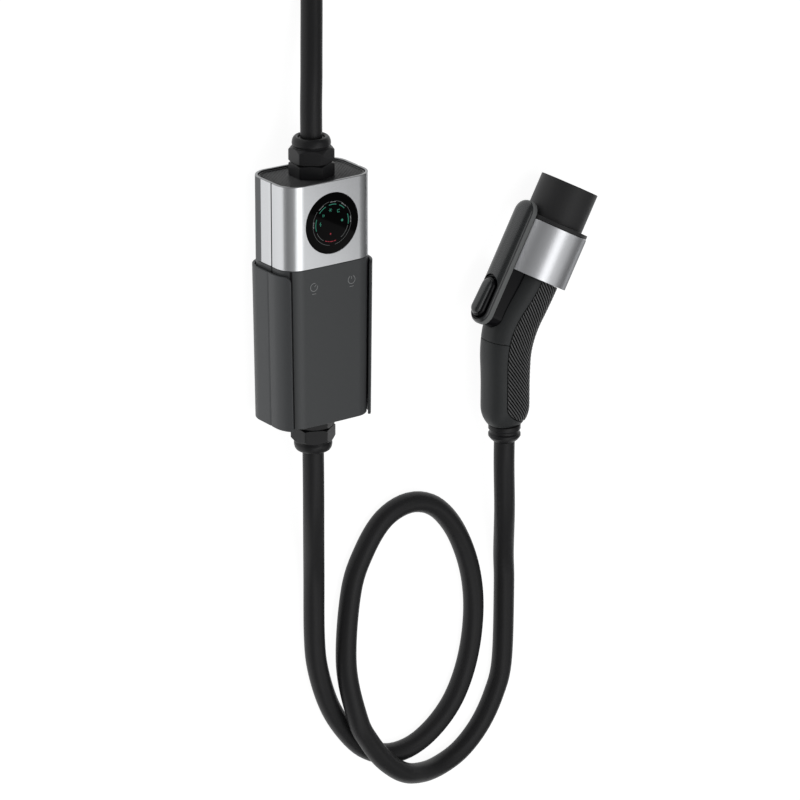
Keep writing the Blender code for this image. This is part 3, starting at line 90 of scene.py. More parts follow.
# Control box, from the frame
BOX_WIDTH = size("upper_sleeve").x
BOX_DEPTH = size("upper_sleeve").z
UPPER_LENGTH = size("upper_sleeve").y
LOWER_LENGTH = size("lower_sleeve").y
BOX_LENGTH = UPPER_LENGTH + TOUCH + LOWER_LENGTH
BOX_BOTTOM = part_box("lower_sleeve")[0].y
BOX_AXIS_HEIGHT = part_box("upper_sleeve")[0].z + BOX_DEPTH / 2
BOX_CORNER = 14.5 * MM
SLEEVE_WALL = 2.0 * MM
SLEEVE_LIP = 0.45 * MM
SIDE_DRAFT = 1.5 * MM
FRONT_CROWN = 0.30 * MM
FRONT_STEPS = 12
SEAM_WIDTH = 2.0 * MM
SEAM_DEPTH = 0.6 * MM
SEAM_AHEAD = 5.9 * MM
SEAM_ROLL = 3.0 * MM
ROLL_STEPS = 5
REAR_EDGE = 8.0 * MM
CORNER_STEPS = 24
RIM_STEPS = 4
PLAIN, IN_SEAM, REAR, RIM, UNDER_CRADLE_SHADE = range(5)
CAP_THICKNESS = 3.0 * MM
CAP_RIM = 1.3 * MM
CAP_PANEL_DEPTH = 0.8 * MM
CAP_PANEL_REACH = 9.0 * MM
CAP_EDGE = 0.25 * MM
CAP_HOLE = 10.6 * MM
CAP_RIB_PITCH = 1.8 * MM
CAP_RIB_WIDTH = 0.9 * MM
CAP_RIB_HEIGHT = 0.35 * MM
TOP_CAP_FACE = BOX_LENGTH - 1.0 * MM - CAP_PANEL_DEPTH
BOTTOM_CAP_FACE = 1.0 * MM
SCREW_HEAD = 2.4 * MM
SCREW_HEAD_HEIGHT = 1.5 * MM
SCREW_SHANK = 1.3 * MM
SCREW_CROSS = 1.3 * MM
SCREW_SLOT = 0.28 * MM
SCREW_RECESS = 0.8 * MM
CRADLE_LENGTH = size("cradle").y
CRADLE_BELOW = BOX_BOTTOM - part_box("cradle")[0].y
CRADLE_WALL = 2.0 * MM
CRADLE_SIDE_GAP = 1.0 * MM
CRADLE_WRAP = math.radians(49)
CRADLE_LIP_RADIUS = 4.0 * MM
CRADLE_GROOVE_WIDTH = 1.4 * MM
CRADLE_GROOVE_DEPTH = 0.5 * MM
CRADLE_GROOVE_AHEAD = 4.3 * MM
CRADLE_EDGE = 0.45 * MM

# Dial
DIAL_RADIUS = size("dial_window").x / 2 + TOUCH
DIAL_HEIGHT = BOX_LENGTH - 30.4 * MM
DIAL_RECESS = 0.25 * MM
DIAL_SIDES = 128
WINDOW_DEPTH = 3.7 * MM
WINDOW_FLANGE = 1.85 * MM
WINDOW_PLUG = 18.2 * MM
DIAL_CHAMFER = 0.3 * MM
MARK_THICKNESS = 0.06 * MM
MARK_LIFT = 0.01 * MM
MARK_GLOW = 0.18
OUTER_RING = 15.9 * MM
DASH_RING = 15.4 * MM
ARC_RING = 13.6 * MM
ARC_WIDTH = 0.5 * MM
SIGN_RING = 9.7 * MM
SIGN_LINE = 0.42 * MM

# Dial marks: spans of arcs and places of dashes, in degrees round the dial
GREEN_SPANS = [(75, 101), (113, 140), (42, 63), (-12, 20), (160, 196)]
GREY_SPANS = [(203, 238), (-58, -16)]
OUTER_SPANS = [(-8, 40), (55, 78), (98, 118), (140, 262), (278, 350)]
RED_SPANS = [(244, 252), (254, 260), (262, 274), (276, 284)]
DASH_PLACES = [88, 127, 52, 2, 178]

# Touch signs: place across and along the box, and the tick's angle
TOUCH_SIGNS = [(-15.4 * MM, 103.1 * MM, 40), (16.1 * MM, 102.9 * MM, 90)]

# Cable glands
GLAND_FLATS = 28.0 * MM
GLAND_TURN = math.radians(-5)
GLAND_BASE = 9.5 * MM
GLAND_GROOVE = 0.6 * MM
GLAND_HEX = 10.4 * MM
GLAND_LENGTH = 29.6 * MM
GLAND_DOME_RADIUS = 13.7 * MM
GLAND_NECK = 11.2 * MM
GLAND_SEAT = 10.0 * MM
GLAND_SINK = 3.0 * MM
GLAND_BORE = 8.0 * MM
GLAND_SIDES = 120
DOME_SHY = 1.2 * MM
DOME_LIP = 1.7 * MM
DOME_ROLL = 1.4 * MM
SEAL_RADIUS = 8.9 * MM
SEAL_DEPTH = 7.0 * MM

# Cables and plug
CABLE_DIAMETER = 15.4 * MM
PLUG_WIDTH = size("plug_body").x
PLUG_HEIGHT = size("plug_body").z
PLUG_LENGTH = size("plug_body").y
PLUG_CORNER = 9.0 * MM
BOOT_LENGTH = 26.0 * MM
BOOT_RADIUS = size("plug_boot").x / 2
BOOT_SKIN = 0.8 * MM
BOOT_RIBS = 6
CORD_CORE = 5.5 * MM
PLUG_EDGE = 1.2 * MM
ROUTE_STEPS = 12
SUPPLY_POINTS = 70
VEHICLE_POINTS = 240
TAIL_LEAD = 20.0 * MM

# A rib of the plug's boot: radius less its crest's, height and rounding, in millimetres
BOOT_RIB = [(-0.7, -1.2, 0.2), (0, -0.9, 0.3), (0, 0.6, 0.3), (-0.7, 0.9, 0.2)]

# The plug's waist: height, inset across and inset upright, in millimetres
PLUG_WAIST = [
    (0, 5, 3), (2, 3, 1.8), (5, 2, 1), (9, 1.2, 0.6), (14, 0, 0), (18, 0, 0), (24, 0.9, 0.7), (31, 0, 0),
]

# Handle
HANDLE_PLACE = (190.5 * MM, 9.3 * MM)
HANDLE_TURN = 28.8
COLLAR_RADIUS = size("collar_ring").z / 2
COLLAR_WALL = 2.0 * MM
COLLAR_LENGTH = 39.5 * MM
FLANGE_THICKNESS = 2.8 * MM
NOSE_RADIUS = 21.9 * MM
NOSE_EDGE = 0.35 * MM
NOSE_SIDES = 144
NOSE_BORE = 19.3 * MM
NOSE_LENGTH = 72.4 * MM
NOSE_RECESS = 8.0 * MM
SHROUD_SEAT = 6.0 * MM
CARRIER_REAR = 20.0 * MM
CONTACT_REAR = 24.0 * MM
CONTACT_SINK = 1.0 * MM
CONTACT_BORE_DEPTH = 25.0 * MM
NECK_STRAIGHT = 25.0 * MM
BEND_RADIUS = 80.0 * MM
GRIP_STRAIGHT = 48.6 * MM
SEAM_AT = 50.0 * MM
NECK_BACK = 21.5 * MM
NECK_FRONT = 14.5 * MM
NECK_HALF_THICKNESS = 18.0 * MM
GRIP_HALF_WIDTH = 17.5 * MM
GRIP_HALF_THICKNESS = 15.4 * MM
GRIP_EASE = 85.0 * MM
NECK_EASE = 48.0 * MM
GRIP_POWER = 2.4
TAIL_ROUND = 14.0 * MM
TAIL_RATIO = 0.7
HOUSING_WALL = 4.4 * MM
SEAM_EDGE = 0.25 * MM
INSERT_THICKNESS = 1.7 * MM
INSERT_SINK = 0.3 * MM
INSERT_SPAN_NECK = math.radians(97)
INSERT_SPAN_GRIP = math.radians(118)
INSERT_SPAN_EASE = 50.0 * MM
INSERT_END = 1.5 * MM
INSERT_TIP = 15.0 * MM
INSERT_GAP = 0.6 * MM
RECESS_DEPTH = 2.6 * MM
RIB_HEIGHT = 0.8 * MM
RIB_RADIUS = 16.5 * MM
RIB_STEPS = 8
RIB_SPACING_NECK = 2.5 * MM
RIB_SPACING_GRIP = 3.3 * MM
RIB_PITCH_NECK = 3.25 * MM
RIB_PITCH_GRIP = 2.45 * MM
RIB_TURN_START = 20.0 * MM
RIB_TURN_LENGTH = 30.0 * MM
RIB_MIDDLE = 21.0 * MM
TAIL_RING_RADIUS = 11.9 * MM
TAIL_RING_WAIST = 10.8 * MM
TAIL_RING_LENGTH = 13.2 * MM
COVER_REAR = -46.2 * MM
COVER_FRONT = 49.8 * MM
COVER_HALF_WIDTH = 9.7 * MM
COVER_BOTTOM = 25.15 * MM
COVER_BAND = 4.1 * MM
COVER_TOP = 33.8 * MM
COVER_DOME = 8.0 * MM
COVER_CREASE = 0.5 * MM
COVER_WALL = 1.8 * MM
BASE_HALF_WIDTH = 9.3 * MM
BASE_REAR = -45.5 * MM
BASE_BOTTOM = 10.0 * MM
BUTTON_REAR = -41.7 * MM
BUTTON_FRONT = -11.9 * MM
BUTTON_HALF_WIDTH = 6.3 * MM
BUTTON_PROUD = 4.0 * MM
BUTTON_FRONT_PROUD = 2.8 * MM
BUTTON_EDGE = 1.5 * MM
BUTTON_DOME = 3.8 * MM
BUTTON_ROOM = 2.5 * MM
BUTTON_GAP = 0.5 * MM
BUTTON_BOTTOM = 29.7 * MM

# Contacts: height and place across the nose, radius and bore, in millimetres
CONTACTS = {
    "power_contact_1": (6.0, -7.9, 3.0, 1.85), "power_contact_2": (6.0, 7.9, 3.0, 1.85),
    "ground_contact": (-10.2, 0.0, 2.5, 1.45),
    "signal_contact_1": (-5.3, -10.6, 1.6, 0.85), "signal_contact_2": (-5.3, 10.6, 1.6, 0.85),
}

# Worked out
FLANGE_START = COLLAR_LENGTH + TOUCH
FLANGE_RADIUS = COLLAR_RADIUS - 0.4 * MM
BARREL_RADIUS = COLLAR_RADIUS - COLLAR_WALL - TOUCH
SLOT_HALF_WIDTH = COVER_HALF_WIDTH + TOUCH
SLOT_FLOOR = COVER_BOTTOM - TOUCH
GRIP_LENGTH = NECK_STRAIGHT + BEND_RADIUS * math.radians(HANDLE_TURN) + GRIP_STRAIGHT
TIP_START = GRIP_LENGTH - INSERT_END - INSERT_TIP
GLAND_END = GLAND_LENGTH + TOUCH
SUPPLY_EXIT = BOX_BOTTOM + TOP_CAP_FACE + GLAND_END + TOUCH
VEHICLE_EXIT = BOX_BOTTOM + BOTTOM_CAP_FACE - GLAND_END - TOUCH

# Frames of the pieces
BOX = shift(0, BOX_BOTTOM, BOX_AXIS_HEIGHT) @ turn(-90, "X")
DIAL = BOX @ shift(0, -BOX_DEPTH / 2, DIAL_HEIGHT) @ turn(90, "X")
TOP_GLAND = BOX @ shift(0, 0, TOP_CAP_FACE)
BOTTOM_GLAND = BOX @ shift(0, 0, BOTTOM_CAP_FACE) @ turn(180, "X")
HANDLE = shift(*HANDLE_PLACE, COLLAR_RADIUS) @ turn(-HANDLE_TURN, "Z")
NOSE = HANDLE @ turn(-90, "X")

# The supply cord's route: out of the top gland, down onto the table and on to the plug
SUPPLY_ROUTE = [
    (0.0, SUPPLY_EXIT, BOX_AXIS_HEIGHT), (0.0, 0.170, BOX_AXIS_HEIGHT), (0.0015, 0.190, 0.0262),
    (0.0050, 0.210, 0.0212), (0.0094, 0.230, 0.0150), (0.0130, 0.250, 0.0098),
    (0.0145, 0.270, 0.0079), (0.0149, 0.290, 0.0078), (0.0150, 0.307, 0.0078),
    (0.0150, 0.324, 0.0078), (0.0150, 0.344, 0.0078), (0.0150, 0.364, 0.0081),
    (0.0150, 0.384, 0.0092), (0.0150, 0.404, 0.0113), (0.0150, 0.424, 0.0134),
    (0.0150, 0.438, 0.0140), (0.0150, 0.448, 0.0140),
]

# The vehicle cord's route: out of the bottom gland, one full loop over itself and up to the handle's tail
VEHICLE_ROUTE = [
    (0.0, VEHICLE_EXIT, BOX_AXIS_HEIGHT), (0.0001, -0.108, BOX_AXIS_HEIGHT), (0.0012, -0.130, 0.0261),
    (0.0042, -0.150, 0.0215), (0.0115, -0.190, 0.0105), (0.0131, -0.237, 0.0081),
    (0.0160, -0.264, 0.0078), (0.0252, -0.294, 0.0078), (0.0385, -0.3175, 0.0078),
    (0.0555, -0.337, 0.0078), (0.0760, -0.3478, 0.0078), (0.0975, -0.3480, 0.0078),
    (0.1180, -0.3385, 0.0078), (0.1360, -0.3210, 0.0078), (0.1480, -0.2970, 0.0078),
    (0.1545, -0.2680, 0.0078), (0.1552, -0.2370, 0.0078), (0.1490, -0.2070, 0.0078),
    (0.1358, -0.1785, 0.0078), (0.1180, -0.1592, 0.0078), (0.0965, -0.1528, 0.0078),
    (0.0745, -0.1604, 0.0078), (0.0572, -0.1815, 0.0080), (0.0450, -0.2110, 0.0086),
    (0.0364, -0.2640, 0.0150), (0.0408, -0.3055, 0.0234), (0.0505, -0.3255, 0.0240),
    (0.0640, -0.3440, 0.0240), (0.0820, -0.3590, 0.0222), (0.1020, -0.3670, 0.0160),
    (0.1230, -0.3690, 0.0100), (0.1440, -0.3620, 0.0082), (0.1620, -0.3460, 0.0078),
    (0.1750, -0.3240, 0.0078), (0.1823, -0.2980, 0.0078), (0.1836, -0.2380, 0.0080),
    (0.1811, -0.2100, 0.0104), (0.1727, -0.1700, 0.0226),
]


def add_object(name, data):
    made = bpy.data.objects.new(name, data)
    bpy.context.scene.collection.objects.link(made)
    return made


def make_camera():
    data = bpy.data.cameras.new("camera")
    data.lens = CAMERA_LENS
    data.sensor_width = 36
    data.clip_end = 100
    right = CAMERA_RIGHT * math.cos(CAMERA_ROLL) + CAMERA_UP * math.sin(CAMERA_ROLL)
    back = CAMERA_RIGHT.cross(CAMERA_UP)
    up = back.cross(right)
    camera = add_object("camera", data)
    camera.matrix_world = Matrix.Translation(CAMERA_PLACE) @ Matrix((right, up, back)).transposed().to_4x4()
    bpy.context.scene.camera = camera


def stations(start, end, count):
    """Evenly spaced values from start to end."""
    return [start + (end - start) * k / (count - 1) for k in range(count)]


def ease(share):
    """From 0 to 1 with level ends."""
    share = min(max(share, 0.0), 1.0)
    return share * share * (3 - 2 * share)


def polar(radius, angle):
    return radius * math.cos(angle), radius * math.sin(angle)


def quarter(count):
    """(out, up) shares along a quarter round that starts upright and ends level."""
    return [(1 - math.cos(t), math.sin(t)) for t in stations(0, math.pi / 2, count)]


def feed(tree, node, inputs):
    """Each input of a node takes a plain value or another node's output."""
    for socket, value in inputs.items():
        if isinstance(value, bpy.types.NodeSocket):
            tree.links.new(value, node.inputs[socket])
        else:
            node.inputs[socket].default_value = value


def add_node(tree, kind, inputs, **properties):
    made = tree.nodes.new("ShaderNode" + kind)
    for name, value in properties.items():
        setattr(made, name, value)
    feed(tree, made, inputs)
    return made


def finish(name, colour, roughness, spread, grain, metallic=0.0, bump=0.06, shine=0.5, stretch=(1, 1, 1),
           rough_spread=0.05, **constants):
    """A procedural material: noise varies its colour and roughness and gives it a fine grain. Values that are the
    same all over, such as a tint or an emission, are set on the shader's own sockets."""
    made = bpy.data.materials.new(name)
    made.use_nodes = True
    tree = made.node_tree
    place = add_node(tree, "TexCoord", {})
    scale = add_node(tree, "Mapping", {
        "Vector": place.outputs["Object"], "Scale": [1 / (grain * s) for s in stretch],
    })
    noise = add_node(tree, "TexNoise", {"Vector": scale.outputs["Vector"], "Scale": 1.0, "Detail": 4.0})
    noise = noise.outputs["Fac"]
    dark, pale = [(*[c * level for c in colour], 1) for level in (1 - spread, 1 + spread)]
    colours = add_node(tree, "Mix", {"Factor": noise, 6: dark, 7: pale}, data_type="RGBA")
    rough = add_node(tree, "MapRange", {
        "Value": noise, "To Min": roughness - rough_spread, "To Max": roughness + rough_spread,
    })
    relief = add_node(tree, "Bump", {"Height": noise, "Strength": bump, "Distance": 0.1 * MM})
    feed(tree, tree.nodes["Principled BSDF"], {
        "Base Color": colours.outputs[2], "Roughness": rough.outputs["Result"], "Normal": relief.outputs["Normal"],
        "Metallic": metallic, "Specular IOR Level": shine,
        **{socket.replace("_", " "): value for socket, value in constants.items()},
    })
    return made


BRUSHED = {"metallic": 1.0, "bump": 0.03, "stretch": (1, 1, 60), "rough_spread": 0.03,
           "Specular_Tint": (0.6, 0.6, 0.6, 1)}
TURNED = {"metallic": 1.0, "bump": 0.05, "stretch": (0.4, 0.4, 0.05), "rough_spread": 0.03,
          "Specular_Tint": (0.15, 0.15, 0.15, 1)}

SILVER = finish("silver_anodised", (0.64, 0.65, 0.665), 0.25, 0.03, 0.25 * MM, **BRUSHED)
# Painted shade: a darker silver for the rear strip and back of the upper sleeve. It stands in for the darker
# reflection at the box's rear edge.
REAR_SHADE_SILVER = finish("rear_painted_shade", (0.13, 0.132, 0.136), 0.34, 0.05, 0.25 * MM, **BRUSHED)
# Painted shade: a darker silver on the upper sleeve's rim and end face. It stands in for the darker reflection
# along the rim.
RIM_SHADE_SILVER = finish("rim_painted_shade", (0.26, 0.265, 0.27), 0.34, 0.05, 0.3 * MM, 1.0, 0.03, rough_spread=0.03)
RING_SILVER = finish("silver_turned", (0.66, 0.67, 0.69), 0.33, 0.05, 2.0 * MM, **TURNED)
# Painted shade: near black for the floor of the sleeves' seam and for a strip of the lower sleeve under the
# cradle's lips.
SEAM_AND_CRADLE_SHADE = finish("groove_shadow", (0.012, 0.012, 0.013), 0.6, 0.12, 1.2 * MM, shine=0.1)
CHARCOAL = finish("charcoal_paint", (0.062, 0.065, 0.067), 0.42, 0.08, 0.35 * MM, 0.2, shine=0.35)
CRADLE_PAINT = finish("cradle_paint", (0.070, 0.073, 0.076), 0.46, 0.08, 0.35 * MM, 0.2, shine=0.25)
BLACK = finish("black_plastic", (0.011, 0.011, 0.012), 0.40, 0.15, 0.4 * MM, shine=0.25)
NOSE_BLACK = finish("nose_plastic", (0.026, 0.026, 0.027), 0.5, 0.12, 0.4 * MM, shine=0.25)
CAP_BLACK = finish("cap_plastic", (0.026, 0.027, 0.028), 0.38, 0.15, 0.4 * MM, shine=0.3)
SHELL = finish("handle_shell", (0.036, 0.038, 0.039), 0.45, 0.10, 0.35 * MM, 0.1, shine=0.2)
# The latch band's own matte grey. The thumb pad also uses it for a painted highlight along its edge.
BAND_AND_HIGHLIGHT = finish("latch_band_and_highlight", (0.155, 0.160, 0.160), 0.60, 0.10, 0.35 * MM, bump=0.12, shine=0.3)
LATCH_FACE = finish("latch_face", (0.013, 0.015, 0.016), 0.27, 0.08, 0.35 * MM, 0.1, 0.02, 0.7)
GLOSS = finish("gloss_black", (0.004, 0.004, 0.005), 0.14, 0.1, 0.5 * MM, bump=0.01, shine=0.15, rough_spread=0.02)
GLASS = finish("dial_glass", (0.001, 0.001, 0.001), 0.06, 0.1, 2 * MM, bump=0.0, shine=0.05, rough_spread=0.01)
# Lit and shaded copies of the grip's rubber: a lighter tone on the rib crests, and painted shade, near black, in
# the valleys.
RIB_CREST_LIT = finish("rib_crest_lit", (0.095, 0.096, 0.098), 0.42, 0.15, 0.5 * MM, bump=0.10, shine=0.4)
RIB_VALLEY_SHADE = finish("rib_valley_shade", (0.004, 0.004, 0.004), 0.6, 0.15, 0.5 * MM, bump=0.10, shine=0.1)
CABLE = finish("cable_rubber", (0.017, 0.017, 0.018), 0.42, 0.12, 0.6 * MM, bump=0.05, shine=0.2)
STEEL = finish("bright_steel", (0.55, 0.55, 0.56), 0.28, 0.06, 0.3 * MM, 1.0, 0.03)
CONTACT = finish("silvered_contact", (0.82, 0.82, 0.80), 0.2, 0.05, 0.4 * MM, 1.0, 0.02)
BRASS = finish("blade_brass", (0.75, 0.60, 0.28), 0.26, 0.06, 0.4 * MM, 1.0, 0.03)
BOARD = finish("board_green", (0.02, 0.16, 0.07), 0.45, 0.15, 3 * MM)
WHITE = finish("white_nylon", (0.70, 0.70, 0.68), 0.5, 0.05, 0.5 * MM)
BLUE = finish("relay_blue", (0.05, 0.12, 0.35), 0.4, 0.08, 0.5 * MM)
ICON = finish("icon_print", (0.27, 0.275, 0.28), 0.5, 0.05, 0.3 * MM)
PRINT = finish("dial_print", (0.10, 0.105, 0.105), 0.5, 0.15, 0.4 * MM)
GREEN = finish("dial_green", (0.01, 0.12, 0.08), 0.5, 0.15, 0.4 * MM, Emission_Color=(0.03, 0.55, 0.34, 1),
               Emission_Strength=MARK_GLOW)
RED = finish("dial_red", (0.20, 0.01, 0.02), 0.5, 0.15, 0.4 * MM, Emission_Color=(0.75, 0.02, 0.07, 1),
             Emission_Strength=MARK_GLOW)

BLADES = ["plug_blade_1", "plug_blade_2", "plug_ground_pin"]
CARRIED = [
    (BLACK, ["inner_frame", "dial_bezel", "display_module", "board_bracket", "power_module", "leakage_sensor",
             "supply_gland_locknut", "vehicle_gland_locknut", "latch_arm", "micro_switch"]),
    (WHITE, ["vehicle_terminal_block", "supply_terminal_block", "cord_clamp", "wire_bundle"]),
    (STEEL, ["latch_pin", "latch_spring"]),
    (BOARD, ["main_board"]),
    (BLUE, ["relay_1", "relay_2"]),
    (BRASS, BLADES),
]


def dress_carried():
    """The frame's own pieces that stay in view or inside take their finishes."""
    for look, nodes in CARRIED:
        for node in nodes:
            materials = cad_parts[node].data.materials
            materials.clear()
            materials.append(look)


def loft(rings, closed=False, paint=None):
    """A mesh through rings of points; paint gives a face's material from its row and column."""
    mesh = bmesh.new()
    loops = [[mesh.verts.new(point) for point in ring] for ring in rings]
    pairs = list(zip(loops, loops[1:]))
    if closed:
        pairs.append((loops[-1], loops[0]))
    for row, (low, high) in enumerate(pairs):
        for i in range(len(low)):
            j = (i + 1) % len(low)
            face = mesh.faces.new((low[i], low[j], high[j], high[i]))
            if paint:
                face.material_index = paint(row, i)
    if not closed:
        mesh.faces.new(list(reversed(loops[0])))
        mesh.faces.new(loops[-1])
    bmesh.ops.remove_doubles(mesh, verts=mesh.verts, dist=MERGE)
    bmesh.ops.recalc_face_normals(mesh, faces=mesh.faces)
    return mesh


def circle(radius, height, sides, start=0.0):
    return [Vector((*polar(radius, 2 * math.pi * k / sides + start), height)) for k in range(sides)]


def turned(profile, closed=True, sides=96, paint=None):
    """A turned piece from (radius, height) pairs."""
    return loft([circle(radius, height, sides) for radius, height in profile], closed, paint)


def rounded(corners, steps=4):
    """A closed outline whose corners, given as (x, y, radius), are rounded."""
    outline = []
    for before, here, after in zip(corners[-1:] + corners[:-1], corners, corners[1:] + corners[:1]):
        point, radius = Vector(here[:2]), here[2]
        if radius == 0:
            outline.append(point)
            continue
        a = (Vector(before[:2]) - point).normalized()
        b = (Vector(after[:2]) - point).normalized()
        half = a.angle(b) / 2
        middle = point + (a + b).normalized() * radius / math.sin(half)
        start = point + a * radius / math.tan(half) - middle
        end = point + b * radius / math.tan(half) - middle
        first = math.atan2(start.y, start.x)
        sweep = (math.atan2(end.y, end.x) - first + math.pi) % (2 * math.pi) - math.pi
        outline += [middle + Vector(polar(1, t)) * radius for t in stations(first, first + sweep, steps + 1)]
    return outline


def solid(outline, bottom, top):
    """An outline raised between two heights."""
    return loft([[Vector((x, y, height)) for x, y in outline] for height in (bottom, top)])


def block(dimensions, centre):
    mesh = bmesh.new()
    place = Matrix.Translation(centre) @ Matrix.Diagonal((*dimensions, 1.0))
    bmesh.ops.create_cube(mesh, size=1.0, matrix=place)
    return mesh


def rod(radius, start, end, sides=48):
    """A plain cylinder between two points, to cut with."""
    start, end = Vector(start), Vector(end)
    along = end - start
    aim = Vector((0, 0, 1)).rotation_difference(along).to_matrix().to_4x4()
    mesh = bmesh.new()
    bmesh.ops.create_cone(
        mesh, cap_ends=True, segments=sides, radius1=radius, radius2=radius, depth=along.length,
        matrix=Matrix.Translation((start + end) / 2) @ aim,
    )
    return mesh


def joined(meshes):
    """Several closed meshes as one."""
    whole = bmesh.new()
    for mesh in meshes:
        data = bpy.data.meshes.new("part_of_a_group")
        mesh.to_mesh(data)
        mesh.free()
        whole.from_mesh(data)
        bpy.data.meshes.remove(data)
    return whole


def as_data(name, mesh, looks, sharp):
    data = bpy.data.meshes.new(name)
    mesh.to_mesh(data)
    mesh.free()
    data.shade_smooth()
    data.set_sharp_from_angle(angle=math.radians(sharp))
    for look in looks:
        data.materials.append(look)
    return data


def subtract(data, cutter, sharp):
    """A mesh with closed meshes taken out of it."""
    whole, cutter = add_object("whole", data), add_object("cutter", as_data("cutter", cutter, [], sharp))
    hole = whole.modifiers.new("cut", "BOOLEAN")
    hole.object = cutter
    hole.solver = "EXACT"
    bpy.context.view_layer.update()
    result = bpy.data.meshes.new_from_object(whole.evaluated_get(bpy.context.evaluated_depsgraph_get()))
    for item in (whole, cutter):
        bpy.data.objects.remove(item)
    result.set_sharp_from_angle(angle=math.radians(sharp))
    return result


def piece(name, mesh, place, looks, node, body="housing", sharp=35, cut=None, level=False):
    """A shaped piece that rides on a body. Its node argument is not used. cut is taken out of it, and level keeps
    its flat faces flat where they meet rounded edges."""
    data = as_data(name, mesh, looks, sharp)
    if cut:
        data = subtract(data, cut, sharp)
    made = add_object(name, data)
    made.matrix_world = place
    if level:
        made.modifiers.new("level_faces", "WEIGHTED_NORMAL").keep_sharp = True
    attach(made, body)
    return made


def stand_in(name, mesh, place, looks, node, **options):
    """A shaped piece that takes the place of one of the frame's nodes."""
    made = piece(name, mesh, place, looks, node, **options)
    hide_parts(node)
    return made


def turned_piece(name, node, look, place, profile, steps=3, sides=96, **options):
    """A turned piece from (radius, height, rounding) corners, in the place of a node."""
    return stand_in(name, turned(rounded(profile, steps), sides=sides), place, [look], node, **options)


def soften(made, width, segments=3):
    """Rounded edges on a piece whose faces meet at a clear angle."""
    edge = made.modifiers.new("rounded_edges", "BEVEL")
    edge.width = width
    edge.segments = segments
    edge.limit_method = "ANGLE"
    edge.angle_limit = math.radians(40)
    edge.harden_normals = False
    made.modifiers.new("level_faces", "WEIGHTED_NORMAL").keep_sharp = True


def smooth_route(points, count):
    """Points at even steps along a smooth curve through a route's points."""
    route = [Vector(p) for p in points]
    route = [2 * route[0] - route[1], *route, 2 * route[-1] - route[-2]]
    fine = []
    for a, b, c, d in zip(route, route[1:], route[2:], route[3:]):
        for k in range(ROUTE_STEPS):
            t = k / ROUTE_STEPS
            quadratic = (2 * a - 5 * b + 4 * c - d) * t**2
            cubic = (3 * b - a - 3 * c + d) * t**3
            fine.append(0.5 * (2 * b + (c - a) * t + quadratic + cubic))
    fine.append(route[-2])
    reach = [0.0]
    for a, b in zip(fine, fine[1:]):
        reach.append(reach[-1] + (b - a).length)
    spaced = []
    at = 0
    for want in stations(0.0, reach[-1], count):
        while at < len(reach) - 2 and reach[at + 1] < want:
            at += 1
        share = (want - reach[at]) / (reach[at + 1] - reach[at])
        spaced.append(fine[at].lerp(fine[at + 1], share))
    return spaced


def make_cord(name, route, count, node):
    data = bpy.data.curves.new(name, "CURVE")
    data.dimensions = "3D"
    data.bevel_depth = CABLE_DIAMETER / 2
    data.bevel_resolution = 10
    data.use_fill_caps = True
    line = smooth_route(route, count)
    spline = data.splines.new("POLY")
    spline.points.add(count - 1)
    for point, place in zip(spline.points, line):
        point.co = (*place, 1.0)
    spline.use_smooth = True
    data.materials.append(CABLE)
    made = add_object(name, data)
    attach(made, "housing")
    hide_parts(node)
    length = sum((b - a).length for a, b in zip(line, line[1:]))
    return made, length


def grip_place(along):
    """Point and turn of the grip's centre line, from the collar's rear edge to the tail."""
    if along <= NECK_STRAIGHT:
        return Vector((0, -along, 0)), 0.0
    bend = BEND_RADIUS * math.radians(HANDLE_TURN)
    angle = min(along - NECK_STRAIGHT, bend) / BEND_RADIUS
    x = BEND_RADIUS * (1 - math.cos(angle))
    y = -NECK_STRAIGHT - BEND_RADIUS * math.sin(angle)
    past = max(0.0, along - NECK_STRAIGHT - bend)
    return Vector((x + past * math.sin(angle), y - past * math.cos(angle), 0)), angle


def tail_end():
    """Where the vehicle cord ends, just outside the tail ring, after a point in line with the grip."""
    place, angle = grip_place(GRIP_LENGTH)
    out = Vector((math.sin(angle), -math.cos(angle), 0))
    reach = TAIL_RING_LENGTH + TOUCH
    return [HANDLE @ (place + out * (reach + TAIL_LEAD)), HANDLE @ (place + out * reach)]


def make_cords():
    plug = make_plug(SUPPLY_ROUTE[-1])
    supply, length = make_cord("supply_cable", SUPPLY_ROUTE, SUPPLY_POINTS, "supply_cord")
    vehicle, length = make_cord("vehicle_cable", VEHICLE_ROUTE + tail_end(), VEHICLE_POINTS, "vehicle_cord")


